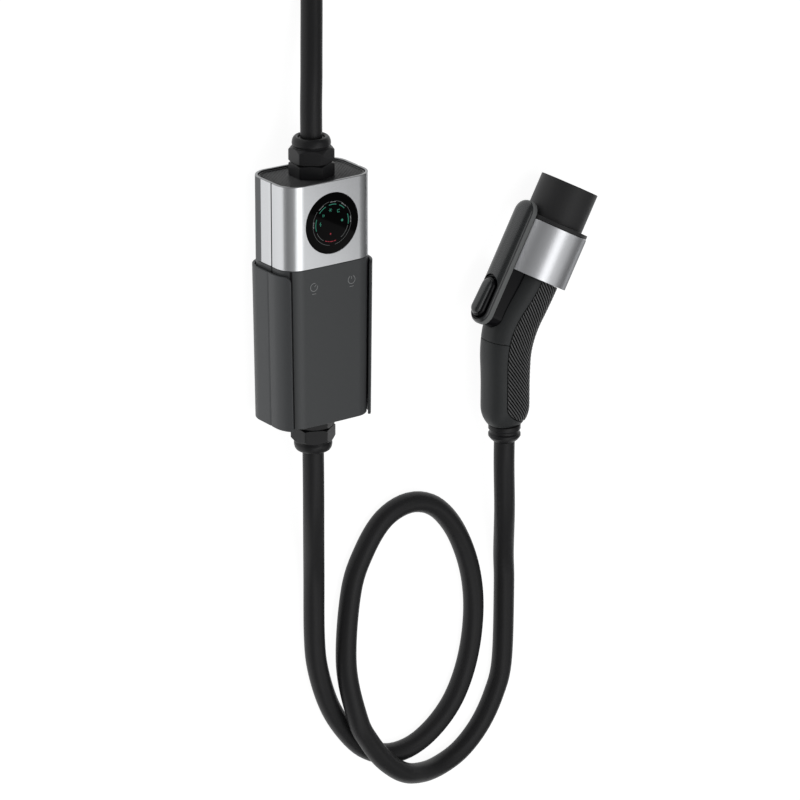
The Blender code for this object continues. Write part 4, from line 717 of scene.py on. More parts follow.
def make_plug(end):
    """The supply lead's plug, with z out of its face and the cord's end at z = 0."""
    place = shift(*end) @ turn(-90, "X")
    start = BOOT_LENGTH + 2 * TOUCH
    slim = CABLE_DIAMETER / 2 + BOOT_SKIN
    profile = [(CORD_CORE, 0, 0), (slim, 0, 0.3 * MM)]
    for k in range(BOOT_RIBS):
        share = (k + 0.7) / BOOT_RIBS
        crest = slim + (BOOT_RADIUS - slim) * share
        middle = TOUCH + (BOOT_LENGTH - 3 * MM) * share
        profile += [(crest + sink * MM, middle + up * MM, rounding * MM) for sink, up, rounding in BOOT_RIB]
    profile += [(BOOT_RADIUS, BOOT_LENGTH - 2 * MM, 0.3 * MM), (BOOT_RADIUS, BOOT_LENGTH, 0.3 * MM)]
    profile += [(CORD_CORE, BOOT_LENGTH, 0)]
    boot = turned_piece("plug_sleeve", "plug_boot", CABLE, place, profile, steps=2, sides=64)

    def section(height, wide, tall, corner=PLUG_CORNER):
        x, y = PLUG_WIDTH / 2 - wide, PLUG_HEIGHT / 2 - tall
        outline = rounded([(x, y, corner), (-x, y, corner), (-x, -y, corner), (x, -y, corner)], 10)
        return [Vector((*point, start + height)) for point in outline]

    edge = PLUG_LENGTH - PLUG_EDGE
    rings = [section(height * MM, wide * MM, tall * MM) for height, wide, tall in PLUG_WAIST]
    rings.append(section(edge, 0, 0))
    for out, up in quarter(5)[1:]:
        inset = PLUG_EDGE * out
        rings.append(section(edge + PLUG_EDGE * up, inset, inset, PLUG_CORNER - inset))
    body = stand_in("plug_housing", loft(rings), place, [BLACK], "plug_body", level=True)
    return [boot, body] + [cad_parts[name] for name in BLADES]


def box_outline(inset, groove=0.0):
    """The box's section, inset from its faces, with a seam of that depth down each side: crisp at its front and
    rolled at its rear."""
    half_width = BOX_WIDTH / 2 - inset
    half_depth = BOX_DEPTH / 2 - inset
    radius = BOX_CORNER - inset
    floor_end = SEAM_WIDTH - SEAM_AHEAD
    seam = [(0.0, -SEAM_AHEAD), (groove, 0.1 * MM - SEAM_AHEAD), (groove, floor_end)]
    seam += [(groove * (1 - up), floor_end + SEAM_ROLL * out) for out, up in quarter(ROLL_STEPS + 1)[1:]]
    seam.append((0.0, REAR_EDGE))
    outline = []
    for side in (1, -1):
        for deep, y in seam[::side]:
            outline.append((side * (half_width - deep), y))
        for start in (0, math.pi / 2):
            middle_x = side * (half_width - radius) * (1 if start == 0 else -1)
            middle_y = side * (half_depth - radius)
            for angle in stations(start, start + math.pi / 2, CORNER_STEPS + 1):
                x, y = polar(side * radius, angle)
                outline.append((middle_x + x, middle_y + y))
            if side < 0 and start == 0:
                flat = stations(radius - half_width, half_width - radius, FRONT_STEPS + 1)
                outline += [(x, -half_depth) for x in flat[1:-1]]
    flat = half_width - radius
    return [(x, y + FRONT_CROWN * min(1.0, (x / flat) ** 2) * max(0.0, -y / half_depth)) for x, y in outline]


def sleeve_paint(row, column):
    """Material of a sleeve's face, by its row along the rim's profile and its column round the box. The seam's
    floor on both sleeves, a strip under the cradle's lips on the lower one, and the rim and rear strip of the
    silver one take slots that carry painted shade.
    """
    seam = 4 + ROLL_STEPS
    corner = CORNER_STEPS + 1
    left = seam + 2 * corner
    in_left = column - left - ROLL_STEPS
    front_left = left + seam + CORNER_STEPS // 2
    front_right = left + seam + corner + FRONT_STEPS - 1 + CORNER_STEPS // 2
    outer_face = RIM_STEPS
    inner_face = 3 * (RIM_STEPS + 1)
    if row >= inner_face:
        return PLAIN
    # The rim's rows and end face: painted shade on the silver sleeve.
    if row > outer_face + 1:
        return RIM
    # Painted shade in the seam's floor.
    if column < 2 or 1 <= in_left < 3:
        return IN_SEAM
    # Rim rows next to the outer face: the same painted shade.
    if row > outer_face:
        return RIM
    # Painted shade on the rear strip of the outer face, for the silver sleeve's darker rear.
    if row == outer_face and seam - 1 <= column < left:
        return REAR
    # Painted shadow: a near-black strip on the lower sleeve just inside each cradle lip, where the gap lies in
    # shade. The silver sleeve keeps its silver here.
    if row == outer_face and (front_left <= column < front_left + 2 or front_right - 2 <= column < front_right):
        return UNDER_CRADLE_SHADE
    return PLAIN


def draft(height):
    """How the box narrows towards the bottom, as a factor on x."""
    share = max(0.0, 1 - height / LOWER_LENGTH)
    return 1 - SIDE_DRAFT / (BOX_WIDTH / 2) * share


def box_ring(inset, height, groove=0.0):
    factor = draft(height)
    return [Vector((x * factor, y, height)) for x, y in box_outline(inset, groove)]


def sleeve(bottom, top, bottom_lip, top_lip):
    """A sleeve with rounded ends."""
    corners = [
        (0.0, bottom, bottom_lip), (0.0, top, top_lip), (SLEEVE_WALL, top, top_lip), (SLEEVE_WALL, bottom, 0)
    ]
    rings = []
    for inset, height in rounded(corners, RIM_STEPS):
        groove = SEAM_DEPTH if inset < SLEEVE_WALL / 2 else 0.0
        rings.append(box_ring(inset, height, groove))
    return loft(rings, closed=True, paint=sleeve_paint)


def make_sleeves():
    # The slots follow sleeve_paint: painted shade goes into the seam on both sleeves, under the cradle's lips on
    # the lower one, and on the rear strip and rim of the silver one.
    stand_in("charcoal_lower_sleeve", sleeve(0.0, LOWER_LENGTH, 0.3 * MM, 0.25 * MM), BOX,
             [CHARCOAL, SEAM_AND_CRADLE_SHADE, CHARCOAL, CHARCOAL, SEAM_AND_CRADLE_SHADE], "lower_sleeve", level=True)
    front = BOX_DEPTH / 2
    flare = [
        (DIAL_RADIUS, front - 2 * SLEEVE_WALL), (DIAL_RADIUS, front - DIAL_CHAMFER),
        (DIAL_RADIUS + DIAL_CHAMFER, front), (DIAL_RADIUS + DIAL_CHAMFER, front + SLEEVE_WALL),
    ]
    hole = turned(flare, closed=False, sides=DIAL_SIDES)
    hole.transform(shift(0, 0, DIAL_HEIGHT) @ turn(90, "X"))
    stand_in("silver_upper_sleeve", sleeve(LOWER_LENGTH + TOUCH, BOX_LENGTH, 0.2 * MM, SLEEVE_LIP), BOX,
             [SILVER, SEAM_AND_CRADLE_SHADE, REAR_SHADE_SILVER, RIM_SHADE_SILVER, SILVER], "upper_sleeve", cut=hole, sharp=28, level=True)


def cap(face, inward):
    """A rimmed cap with a round hole; face is its panel's height and inward the way into the box."""
    edge = SLEEVE_WALL + TOUCH
    rim = face - inward * CAP_PANEL_DEPTH
    back = face + inward * CAP_THICKNESS
    corners = [
        (edge, back, 0), (edge, rim, CAP_EDGE), (edge + CAP_RIM, rim, CAP_EDGE), (edge + CAP_RIM, face, CAP_EDGE),
        (edge + CAP_PANEL_REACH, face, 0),
    ]
    rings = [box_ring(inset, height) for inset, height in rounded(corners, 3)]
    for height in (face, back):
        rings.append([Vector((*point.xy.normalized() * CAP_HOLE, height)) for point in rings[0]])
    return loft(rings, closed=True)


def cap_ribs(face):
    """Fine ribs across the top cap's panel, from its front to its back."""
    inset = SLEEVE_WALL + TOUCH + CAP_RIM + CAP_EDGE
    half_width, half_depth = BOX_WIDTH / 2 - inset, BOX_DEPTH / 2 - inset
    radius = BOX_CORNER - inset
    half = CAP_RIB_WIDTH / 2
    section = [(-half, -0.1 * MM), (half, -0.1 * MM), (half * 0.6, CAP_RIB_HEIGHT), (-half * 0.6, CAP_RIB_HEIGHT)]
    count = int(half_width / CAP_RIB_PITCH)
    ribs = []
    for k in range(-count, count + 1):
        x = k * CAP_RIB_PITCH
        past = max(0.0, abs(x) + half - (half_width - radius))
        if past < radius:
            reach = half_depth - radius + math.sqrt(radius**2 - past**2)
            ends = [[Vector((x + across, y, face + up)) for across, up in section] for y in (-reach, reach)]
            ribs.append(loft(ends))
    return ribs


def make_caps():
    top = joined([cap(TOP_CAP_FACE, -1), *cap_ribs(TOP_CAP_FACE)])
    stand_in("ribbed_top_cap", top, BOX, [CAP_BLACK], "top_cap")
    stand_in("plain_bottom_cap", cap(BOTTOM_CAP_FACE, 1), BOX, [CAP_BLACK], "bottom_cap")


def make_screws():
    """Four screws in the bottom cap, with z out of it and the top of the head at z = 0."""
    arm = [(SCREW_CROSS, -SCREW_SLOT), (SCREW_CROSS, SCREW_SLOT), (SCREW_SLOT, SCREW_SLOT)]
    cross = []
    for _ in range(4):
        cross += arm
        arm = [(-y, x) for x, y in arm]
    for number in range(1, 5):
        node = f"bottom_cap_screw_{number}"
        low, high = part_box(node)
        profile = [
            (AXIS, low.y - high.y, 0), (SCREW_SHANK, low.y - high.y, 0), (SCREW_SHANK, -SCREW_HEAD_HEIGHT, 0),
            (SCREW_HEAD, -SCREW_HEAD_HEIGHT, 0.1 * MM), (SCREW_HEAD, -0.7 * MM, 0.3 * MM),
            (1.6 * MM, -0.05 * MM, 0.5 * MM), (AXIS, 0, 0),
        ]
        place = shift((low.x + high.x) / 2, low.y, (low.z + high.z) / 2) @ turn(90, "X")
        turned_piece(f"cross_screw_{number}", node, STEEL, place, profile, sides=40,
                     cut=solid(cross, -SCREW_RECESS, SCREW_RECESS))


def make_cradle():
    """A bent sheet round the box's back and sides, whose upper front corners are rounded."""
    radius = BOX_CORNER + CRADLE_SIDE_GAP
    half_width = BOX_WIDTH / 2 + CRADLE_SIDE_GAP
    front = BOX_DEPTH / 2 + CRADLE_SIDE_GAP - radius
    back = BOX_DEPTH / 2 + TOUCH - radius
    at_side = CRADLE_WRAP * radius
    bottom, top = -CRADLE_BELOW, CRADLE_LENGTH - CRADLE_BELOW
    groove = CRADLE_GROOVE_WIDTH

    def side_line(offset):
        grown = radius + offset
        line = []
        for angle in stations(-CRADLE_WRAP, 0.0, CORNER_STEPS + 1):
            x, y = polar(grown, angle)
            line.append((half_width - radius + x, y - front, (CRADLE_WRAP + angle) * radius))
        for past in (-groove, -groove / 4, groove / 4, groove):
            deep = CRADLE_GROOVE_DEPTH if offset and abs(past) < groove / 2 else 0.0
            y = past - CRADLE_GROOVE_AHEAD
            line.append((half_width + offset - deep, y, at_side + front + y))
        for angle in stations(0.0, math.pi / 2, CORNER_STEPS + 1):
            x, y = polar(grown, angle)
            line.append((half_width - radius + x, back + y, at_side + front + back))
        return line + [(-x, y, distance) for x, y, distance in reversed(line)]

    rings = []
    for (xi, yi, distance), (xo, yo, _) in zip(side_line(0.0), side_line(CRADLE_WALL)):
        short = max(0.0, CRADLE_LIP_RADIUS - distance)
        high = top - (CRADLE_LIP_RADIUS - math.sqrt(CRADLE_LIP_RADIUS**2 - short**2))
        low_factor, high_factor = draft(bottom), draft(high)
        rings.append([
            Vector((xi * low_factor, yi, bottom)), Vector((xo * low_factor, yo, bottom)),
            Vector((xo * high_factor, yo, high)), Vector((xi * high_factor, yi, high)),
        ])
    soften(stand_in("bent_cradle", loft(rings), BOX, [CRADLE_PAINT], "cradle"), CRADLE_EDGE)


def arc_mark(radius, width, start, end, steps=24):
    """A flat ring segment between two angles in degrees, raised from z = 0."""
    turns = [math.radians(a) for a in stations(start, end, steps)]
    outline = [polar(radius + width / 2, t) for t in turns]
    outline += [polar(radius - width / 2, t) for t in reversed(turns)]
    return solid(outline, 0, MARK_THICKNESS)


def bar_mark(x, y, length, width, angle):
    """A flat bar at a place and angle."""
    c, s = polar(1, math.radians(angle))
    corners = [(sx * length / 2, sy * width / 2) for sx, sy in ((-1, -1), (1, -1), (1, 1), (-1, 1))]
    return solid([(x + a * c - b * s, y + a * s + b * c) for a, b in corners], 0, MARK_THICKNESS)


def disc_mark(x, y, radius, sides=24):
    outline = [polar(radius, 2 * math.pi * k / sides) for k in range(sides)]
    return solid([(x + a, y + b) for a, b in outline], 0, MARK_THICKNESS)


def around(radius, degrees):
    return polar(radius, math.radians(degrees))


def arcs(radius, width, spans):
    return [arc_mark(radius, width, *span) for span in spans]


def dial_signs():
    """Small plain signs inside the arcs. A sign's bars have a place, length, width and tilt, in millimetres and
    degrees."""
    bolt = [(-0.2, 0.6, 1.7, 0.5, 68), (0.2, -0.6, 1.7, 0.5, 68)]
    bars = [(-0.5, 0, 1.9, 0.45, 90), (0.5, 0, 1.3, 0.45, 90)]
    rays = [(*around(1.05, angle), 0.6, 0.35, angle) for angle in range(0, 360, 60)]
    bracket = [(0, -0.9, 2.0, 0.4, 0), (0, 0.9, 2.0, 0.4, 0), (-0.9, 0, 1.6, 0.4, 90)]
    signs = []
    for angle, sign in ((176, bolt), (137, bars), (98, rays), (56, bracket)):
        x, y = around(SIGN_RING, angle)
        if sign is rays:
            signs.append(disc_mark(x, y, 0.55 * MM))
        for across, up, length, width, tilt in sign:
            signs.append(bar_mark(x + across * MM, y + up * MM, length * MM, width * MM, tilt))
    return signs + [disc_mark(*around(8.4 * MM, 5), 1.0 * MM, 6)]


def make_dial():
    """A black glass disc with lit arcs and small plain signs."""
    radius = DIAL_RADIUS - TOUCH
    corners = [
        (AXIS, -WINDOW_DEPTH, 0), (WINDOW_PLUG, -WINDOW_DEPTH, 0), (WINDOW_PLUG, -WINDOW_FLANGE, 0),
        (radius, -WINDOW_FLANGE, 0), (radius, -DIAL_RECESS, 0.3 * MM), (AXIS, -DIAL_RECESS, 0),
    ]
    turned_piece("dial_glass_disc", "dial_window", GLASS, DIAL, corners, sides=DIAL_SIDES)
    green = arcs(ARC_RING, ARC_WIDTH, GREEN_SPANS) + dial_signs()
    pale = arcs(ARC_RING, 0.8 * ARC_WIDTH, GREY_SPANS) + arcs(OUTER_RING, 0.3 * MM, OUTER_SPANS)
    red = arcs(ARC_RING - 0.3 * MM, ARC_WIDTH, RED_SPANS)
    red.append(disc_mark(*around(7.7 * MM, -100), 0.6 * MM))
    dashes = []
    for middle in DASH_PLACES:
        for step, length in ((-7, 1.4), (-1.5, 0.7), (4, 1.68)):
            angle = middle + step
            dashes.append(bar_mark(*around(DASH_RING, angle), length * MM, 0.55 * MM, angle + 90))
    front = DIAL @ shift(0, 0, MARK_LIFT - DIAL_RECESS)
    for name, marks, look in (("dial_green_marks", green, GREEN), ("dial_red_marks", red, RED),
                              ("dial_pale_marks", pale, PRINT), ("dial_dashes", dashes, ICON)):
        piece(name, joined(marks), front, [look], "dial_window")


def make_touch_signs():
    """Two printed touch signs on the lower sleeve's front: an open ring with a tick, over a dash."""
    marks = []
    for x, height, tick in TOUCH_SIGNS:
        for mark in (arc_mark(2.9 * MM, SIGN_LINE, tick + 26, tick + 334, 40),
                     bar_mark(*around(1.5 * MM, tick), 1.9 * MM, SIGN_LINE, tick),
                     bar_mark(0, -4.9 * MM, 3.4 * MM, 0.36 * MM, 0)):
            bmesh.ops.translate(mark, verts=mark.verts, vec=(x, height, 0))
            marks.append(mark)
    front = BOX @ shift(0, -BOX_DEPTH / 2, 0) @ turn(90, "X") @ shift(0, 0, 2 * MARK_LIFT - FRONT_CROWN / 2)
    piece("touch_signs", joined(marks), front, [ICON], "lower_sleeve")


def hexagon(height, limit):
    """A hexagon ring whose corners are turned down to a radius."""
    ring = []
    for k in range(GLAND_SIDES):
        angle = 2 * math.pi * k / GLAND_SIDES
        sixth = (angle + math.pi / 6) % (math.pi / 3) - math.pi / 6
        reach = min(GLAND_FLATS / 2 / math.cos(sixth), limit)
        ring.append(Vector((*polar(reach, angle + GLAND_TURN), height)))
    return ring


def round_rings(*profile):
    return [circle(radius, height, GLAND_SIDES, GLAND_TURN) for radius, height in profile]


def hex_length(bottom, top, low_chamfer, high_chamfer):
    """Rings of a hexagon bar whose ends are chamfered on a cone, which leaves an arc on each flat."""
    corner = GLAND_FLATS / math.sqrt(3) - 0.1 * MM
    drop = corner - GLAND_FLATS / 2 + 0.1 * MM
    low = [hexagon(bottom + low_chamfer * (1 - share), corner - drop * share / 2) for share in stations(1, 0, 6)]
    high = [hexagon(top - high_chamfer * (1 - share), corner - drop * share) for share in stations(0, 1, 8)]
    return low + high


def make_gland(prefix, place):
    """Body, domed nut and seal, with z out of the box and its cap's face at z = 0."""
    base_end = TOUCH + GLAND_BASE
    nut_start = base_end + GLAND_GROOVE
    hex_end = nut_start + GLAND_HEX
    seal_start = GLAND_LENGTH - SEAL_DEPTH
    body = round_rings((GLAND_SEAT, -GLAND_SINK), (GLAND_SEAT, TOUCH))
    body += hex_length(TOUCH, base_end, 0.3 * MM, 1.1 * MM)
    body += round_rings((GLAND_NECK, base_end), (GLAND_NECK, seal_start - TOUCH), (GLAND_BORE, seal_start - TOUCH),
                        (GLAND_BORE, -GLAND_SINK))
    stand_in(prefix + "_gland_base", loft(body, closed=True), place, [BLACK], prefix + "_gland_body", sharp=24)
    opening = SEAL_RADIUS + TOUCH
    crest = opening + DOME_LIP
    shoulder = GLAND_DOME_RADIUS
    foot = hex_end + 1.1 * MM
    dome_start = foot + 1.2 * MM
    rise = GLAND_LENGTH - DOME_SHY - dome_start
    dome = [
        (shoulder - 0.5 * MM, hex_end + 0.1 * MM), (shoulder - 0.75 * MM, hex_end + 0.5 * MM),
        (shoulder - 0.6 * MM, foot), (shoulder - 0.15 * MM, foot + 0.6 * MM),
    ]
    dome += [(shoulder - (shoulder - crest) * out, dome_start + rise * up) for out, up in quarter(13)]
    dome += [(crest - DOME_LIP * up, dome_start + rise - DOME_ROLL * out) for out, up in quarter(7)[1:]]
    nut = round_rings((GLAND_NECK + TOUCH, nut_start)) + hex_length(nut_start, hex_end, 0.6 * MM, 2.2 * MM)
    nut += round_rings(*dome, (opening, seal_start), (GLAND_NECK + TOUCH, seal_start))
    stand_in(prefix + "_dome_nut", loft(nut, closed=True), place, [BLACK], prefix + "_gland_nut", sharp=24)
    lead = CABLE_DIAMETER / 2
    seal = [
        (CORD_CORE, seal_start, 0), (SEAL_RADIUS, seal_start, 0), (SEAL_RADIUS, GLAND_LENGTH - 2.6 * MM, 0.3 * MM),
        (lead, GLAND_LENGTH - 2.4 * MM, 0), (lead, GLAND_END + TOUCH, 0), (CORD_CORE, GLAND_END + TOUCH, 0),
    ]
    turned_piece(prefix + "_cable_seal", prefix + "_gland_seal", CABLE, place, seal)


def latch_slot(start, end):
    """The latch's channel through the collar and the nose flange, in the nose frame."""
    deep = COLLAR_RADIUS
    return block((deep, 2 * SLOT_HALF_WIDTH, end - start), (-SLOT_FLOOR - deep / 2, 0, (start + end) / 2))


def make_nose():
    flange_end = FLANGE_START + FLANGE_THICKNESS
    shroud = [
        (NECK_FRONT, TOUCH, 0), (BARREL_RADIUS, TOUCH, 0), (BARREL_RADIUS, FLANGE_START, 0),
        (FLANGE_RADIUS, FLANGE_START, 0.15 * MM), (FLANGE_RADIUS, flange_end, NOSE_EDGE),
        (NOSE_RADIUS, flange_end, NOSE_EDGE), (NOSE_RADIUS, NOSE_LENGTH, NOSE_EDGE),
        (NOSE_BORE, NOSE_LENGTH, NOSE_EDGE), (NOSE_BORE, SHROUD_SEAT, 0), (NECK_FRONT, SHROUD_SEAT, 0),
    ]
    turned_piece("nose_sleeve", "nose_shroud", NOSE_BLACK, NOSE, shroud, steps=4, sides=NOSE_SIDES,
                 cut=latch_slot(-5 * MM, flange_end + 3 * MM), level=True)
    inner = COLLAR_RADIUS - COLLAR_WALL
    ring = [
        (inner, 0, 0.1 * MM), (COLLAR_RADIUS, 0, 0.3 * MM),
        (COLLAR_RADIUS, COLLAR_LENGTH, 0.3 * MM), (inner, COLLAR_LENGTH, 0.1 * MM),
    ]
    turned_piece("silver_collar", "collar_ring", RING_SILVER, NOSE, ring, steps=4, sides=NOSE_SIDES,
                 cut=latch_slot(-5 * MM, COLLAR_LENGTH + 5 * MM), level=True)


def make_contacts():
    """Five contacts in their block."""
    face = NOSE_LENGTH - NOSE_RECESS
    tip = face - CONTACT_SINK
    floor = tip - CONTACT_BORE_DEPTH
    holes = []
    for node, row in CONTACTS.items():
        high, across, outer, bore = (value * MM for value in row)
        holes.append(rod(outer + TOUCH, (-high, -across, CARRIER_REAR - 5 * MM), (-high, -across, face + 5 * MM)))
        profile = [
            (0.02 * MM, floor, 0), (bore, floor, 0), (bore, tip, 0.2 * MM),
            (outer, tip, 0.4 * MM), (outer, CONTACT_REAR, 0), (0.02 * MM, CONTACT_REAR, 0),
        ]
        turned_piece(node + "_sleeve", node, CONTACT, NOSE @ shift(-high, -across, 0), profile, sides=48)
    radius = NOSE_BORE - TOUCH
    step = face - 1.5 * MM
    carrier = [
        (AXIS, CARRIER_REAR, 0), (radius, CARRIER_REAR, 0), (radius, step, 0.2 * MM),
        (radius - 1.2 * MM, step, 0.2 * MM), (radius - 1.2 * MM, face, 0.4 * MM), (AXIS, face, 0),
    ]
    turned_piece("contact_block", "contact_carrier", BLACK, NOSE, carrier, sides=120, cut=joined(holes))


def grip_radius(along, angle, inset):
    """Distance from the centre line to the grip's surface; angle 0 is the back, away from the latch."""
    widen = 1 - ease(along / GRIP_EASE)
    back = GRIP_HALF_WIDTH + (NECK_BACK - GRIP_HALF_WIDTH) * widen
    thick = GRIP_HALF_THICKNESS + (NECK_HALF_THICKNESS - GRIP_HALF_THICKNESS) * widen
    front = back - (NECK_BACK - NECK_FRONT) * (1 - ease(along / NECK_EASE))
    past = max(0.0, along - (GRIP_LENGTH - TAIL_ROUND)) / TAIL_ROUND
    shrink = math.sqrt(1 - (1 - TAIL_RATIO**2) * min(past, 1.0) ** 2)
    wide = (back if math.cos(angle) > 0 else front) * shrink - inset
    deep = thick * shrink - inset
    across = (abs(math.cos(angle)) / wide) ** GRIP_POWER + (abs(math.sin(angle)) / deep) ** GRIP_POWER
    return across ** (-1 / GRIP_POWER)


def grip_point(along, angle, inset):
    """A point of the grip's surface, or inset from it, at an angle round the centre line."""
    centre, bend = grip_place(along)
    outward = Vector((math.cos(bend), math.sin(bend), 0))
    radius = grip_radius(along, angle, inset)
    return centre + outward * (radius * math.cos(angle)) + Vector((0, 0, radius * math.sin(angle)))


def insert_span(along):
    """Half the angle that the ribbed insert covers; it closes in a round tip towards the tail."""
    span = INSERT_SPAN_NECK + (INSERT_SPAN_GRIP - INSERT_SPAN_NECK) * ease(along / INSERT_SPAN_EASE)
    past = min(max(0.0, along - TIP_START) / INSERT_TIP, 1.0)
    return span * math.sqrt(1 - past**2)


def recess_span(along):
    """Half the angle of the insert's recess: the insert's with a gap all round, and none past its end."""
    if along > TIP_START + INSERT_TIP + INSERT_GAP:
        return 0.0
    return insert_span(along - INSERT_GAP) + INSERT_GAP / RIB_RADIUS


def housing_ring(along, inset=0.0):
    """The grip's section with the recess for the insert sunk into it."""
    span = recess_span(along)
    deep = RECESS_DEPTH if span > 0 and inset < RECESS_DEPTH else inset
    ring = [grip_point(along, angle, inset) for angle in stations(span, 2 * math.pi - span, 90)]
    ring += [grip_point(along, angle, deep) for angle in stations(-span, span, 40)]
    return ring


def tip_rows(steps):
    """Places at which the insert's round tip narrows by even steps of its arc."""
    turns = stations(0.0, math.pi / 2, steps + 1)
    return [TIP_START + INSERT_TIP * math.sin(angle) for angle in turns]


def make_grip():
    edge = SEAM_EDGE
    rows = [(0.0, 0.3 * MM), (0.15 * MM, 0.08 * MM)]
    rows += [(along, 0.0) for along in stations(0.4 * MM, SEAM_AT - 2 * edge, 30)]
    rows += [(SEAM_AT - edge, 0.1 * edge), (SEAM_AT - 0.3 * edge, 0.4 * edge), (SEAM_AT, edge)]
    rows += [(SEAM_AT, HOUSING_WALL), (2.4 * MM, HOUSING_WALL)]
    hole = loft([latch_ring(base_outline(TOUCH), level) for level in (BASE_BOTTOM - TOUCH, 2 * COVER_TOP)])
    stand_in("upper_handle_shell", loft([housing_ring(*row) for row in rows], closed=True), HANDLE, [SHELL],
             "upper_housing", sharp=40, cut=hole)
    start = SEAM_AT + TOUCH
    past_insert = TIP_START + INSERT_TIP + INSERT_GAP + 0.05 * MM
    rows = [(start, edge), (start + 0.3 * edge, 0.4 * edge), (start + edge, 0.1 * edge)]
    rows += [(along, 0.0) for along in stations(start + 2 * edge, TIP_START, 26)[:-1]]
    rows += [(along + INSERT_GAP, 0.0) for along in tip_rows(14)] + [(past_insert, 0.0)]
    rows += [(along, 0.0) for along in stations(past_insert + 0.1 * MM, GRIP_LENGTH - 0.5 * MM, 5)]
    rows += [(GRIP_LENGTH - 0.15 * MM, 0.12 * MM), (GRIP_LENGTH, 0.5 * MM)]
    rows += [(GRIP_LENGTH, HOUSING_WALL), (start, HOUSING_WALL)]
    stand_in("lower_handle_shell", loft([housing_ring(*row) for row in rows], closed=True), HANDLE, [SHELL],
             "grip_shell", sharp=40)


def rib_count(along):
    """Ribs passed up to a place along the grip; they stand closer at the neck, where they cross it more."""
    turned_by = (along - RIB_TURN_START) / RIB_TURN_LENGTH
    if turned_by <= 0:
        past = 0.0
    elif turned_by < 1:
        past = turned_by**3 - turned_by**4 / 2
    else:
        past = turned_by - 0.5
    change = 1 / RIB_SPACING_NECK - 1 / RIB_SPACING_GRIP
    return along / RIB_SPACING_NECK - change * RIB_TURN_LENGTH * past


def rib_pitch(along):
    """Distance from rib to rib round the grip."""
    return RIB_PITCH_NECK + (RIB_PITCH_GRIP - RIB_PITCH_NECK) * ease((along - RIB_TURN_START) / RIB_TURN_LENGTH)


def make_insert():
    """The ribbed grip: each row crosses the ribs, and its points follow the ribs' wave."""
    rows = [TOUCH] + stations(TOUCH + 0.5 * MM, TIP_START, 70) + tip_rows(14)[1:-1]
    low = -RIB_MIDDLE / RIB_PITCH_GRIP
    high = (INSERT_SPAN_GRIP * RIB_RADIUS - RIB_MIDDLE) / RIB_PITCH_GRIP + rib_count(GRIP_LENGTH)
    lines = range(math.floor(low) * RIB_STEPS, math.ceil(high) * RIB_STEPS + 1)
    rings = []
    for along in rows:
        reach = insert_span(along)
        half = []
        for line in lines:
            arc = RIB_MIDDLE + (line / RIB_STEPS - rib_count(along)) * rib_pitch(along)
            angle = arc / RIB_RADIUS
            share = 0.5 - 0.5 * math.cos(2 * math.pi * line / RIB_STEPS)
            margin = min(1.0, max(0.0, (reach - angle) * RIB_RADIUS / (1.0 * MM)))
            half.append((min(max(angle, 0.0), reach), INSERT_SINK - RIB_HEIGHT * share**0.7 * margin))
        ring = [grip_point(along, angle, sink) for angle, sink in [(-a, d) for a, d in reversed(half)] + half]
        floor = INSERT_SINK + INSERT_THICKNESS
        ring += [grip_point(along, angle, floor) for angle in stations(reach, -reach, 24)]
        rings.append(ring)
    count = len(lines)

    # The ribs' valleys take painted shade and their crests the lighter, lit copy of the rubber.
    def lit_crest_or_shaded_valley(row, column):
        if column >= 2 * count:
            return 1
        step = (count - 2 - column if column < count else column - count) % RIB_STEPS
        return 0 if 2 <= step < RIB_STEPS - 2 else 1

    stand_in("ribbed_grip", loft(rings, paint=lit_crest_or_shaded_valley), HANDLE, [RIB_CREST_LIT, RIB_VALLEY_SHADE], "grip_insert", sharp=60)


def make_tail():
    place, bend = grip_place(GRIP_LENGTH)
    tail = HANDLE @ Matrix.Translation(place) @ Matrix.Rotation(bend, 4, "Z") @ turn(90, "X")
    wide, waist, lead = TAIL_RING_RADIUS, TAIL_RING_WAIST, CABLE_DIAMETER / 2 + 0.35 * MM
    end = TAIL_RING_LENGTH + TOUCH
    profile = [
        (CORD_CORE, -2.4 * MM, 0), (7.2 * MM, -2.4 * MM, 0), (7.2 * MM, TOUCH, 0), (wide, TOUCH, 0.7 * MM),
        (wide, 3.9 * MM, 0.6 * MM), (waist, 4.6 * MM, 0.3 * MM), (waist, 6.5 * MM, 0.3 * MM),
        (wide, 7.3 * MM, 0.6 * MM), (wide, 9.4 * MM, 0.5 * MM), (wide - 1.6 * MM, 11.6 * MM, 0.8 * MM),
        (lead, end, 0.3 * MM), (CORD_CORE, end, 0),
    ]
    turned_piece("tail_sleeve", "tail_ring", BLACK, tail, profile, steps=4)


def capsule(rear, front, half_width, inset=0.0):
    """A slot-shaped outline as (across, along) points, inset from its edge."""
    arc = [polar(half_width - inset, t) for t in stations(0, math.pi, 41)]
    return [(x, front - half_width + y) for x, y in arc] + [(-x, rear + half_width - y) for x, y in arc]


def latch_ring(outline, height):
    """An outline of the latch at a height from the nose's axis."""
    return [Vector((-height, along, across)) for across, along in outline]


def base_outline(grow):
    """The latch base's outline: round at the rear and square against the collar."""
    half = BASE_HALF_WIDTH + grow
    arc = [polar(half, t) for t in stations(0, math.pi, 49)]
    rear = [(-x, BASE_REAR + BASE_HALF_WIDTH - y) for x, y in arc]
    return [(half, -TOUCH + grow), (-half, -TOUCH + grow)] + rear


def button_outline(grow):
    return capsule(BUTTON_REAR - grow, BUTTON_FRONT + grow, BUTTON_HALF_WIDTH + grow)


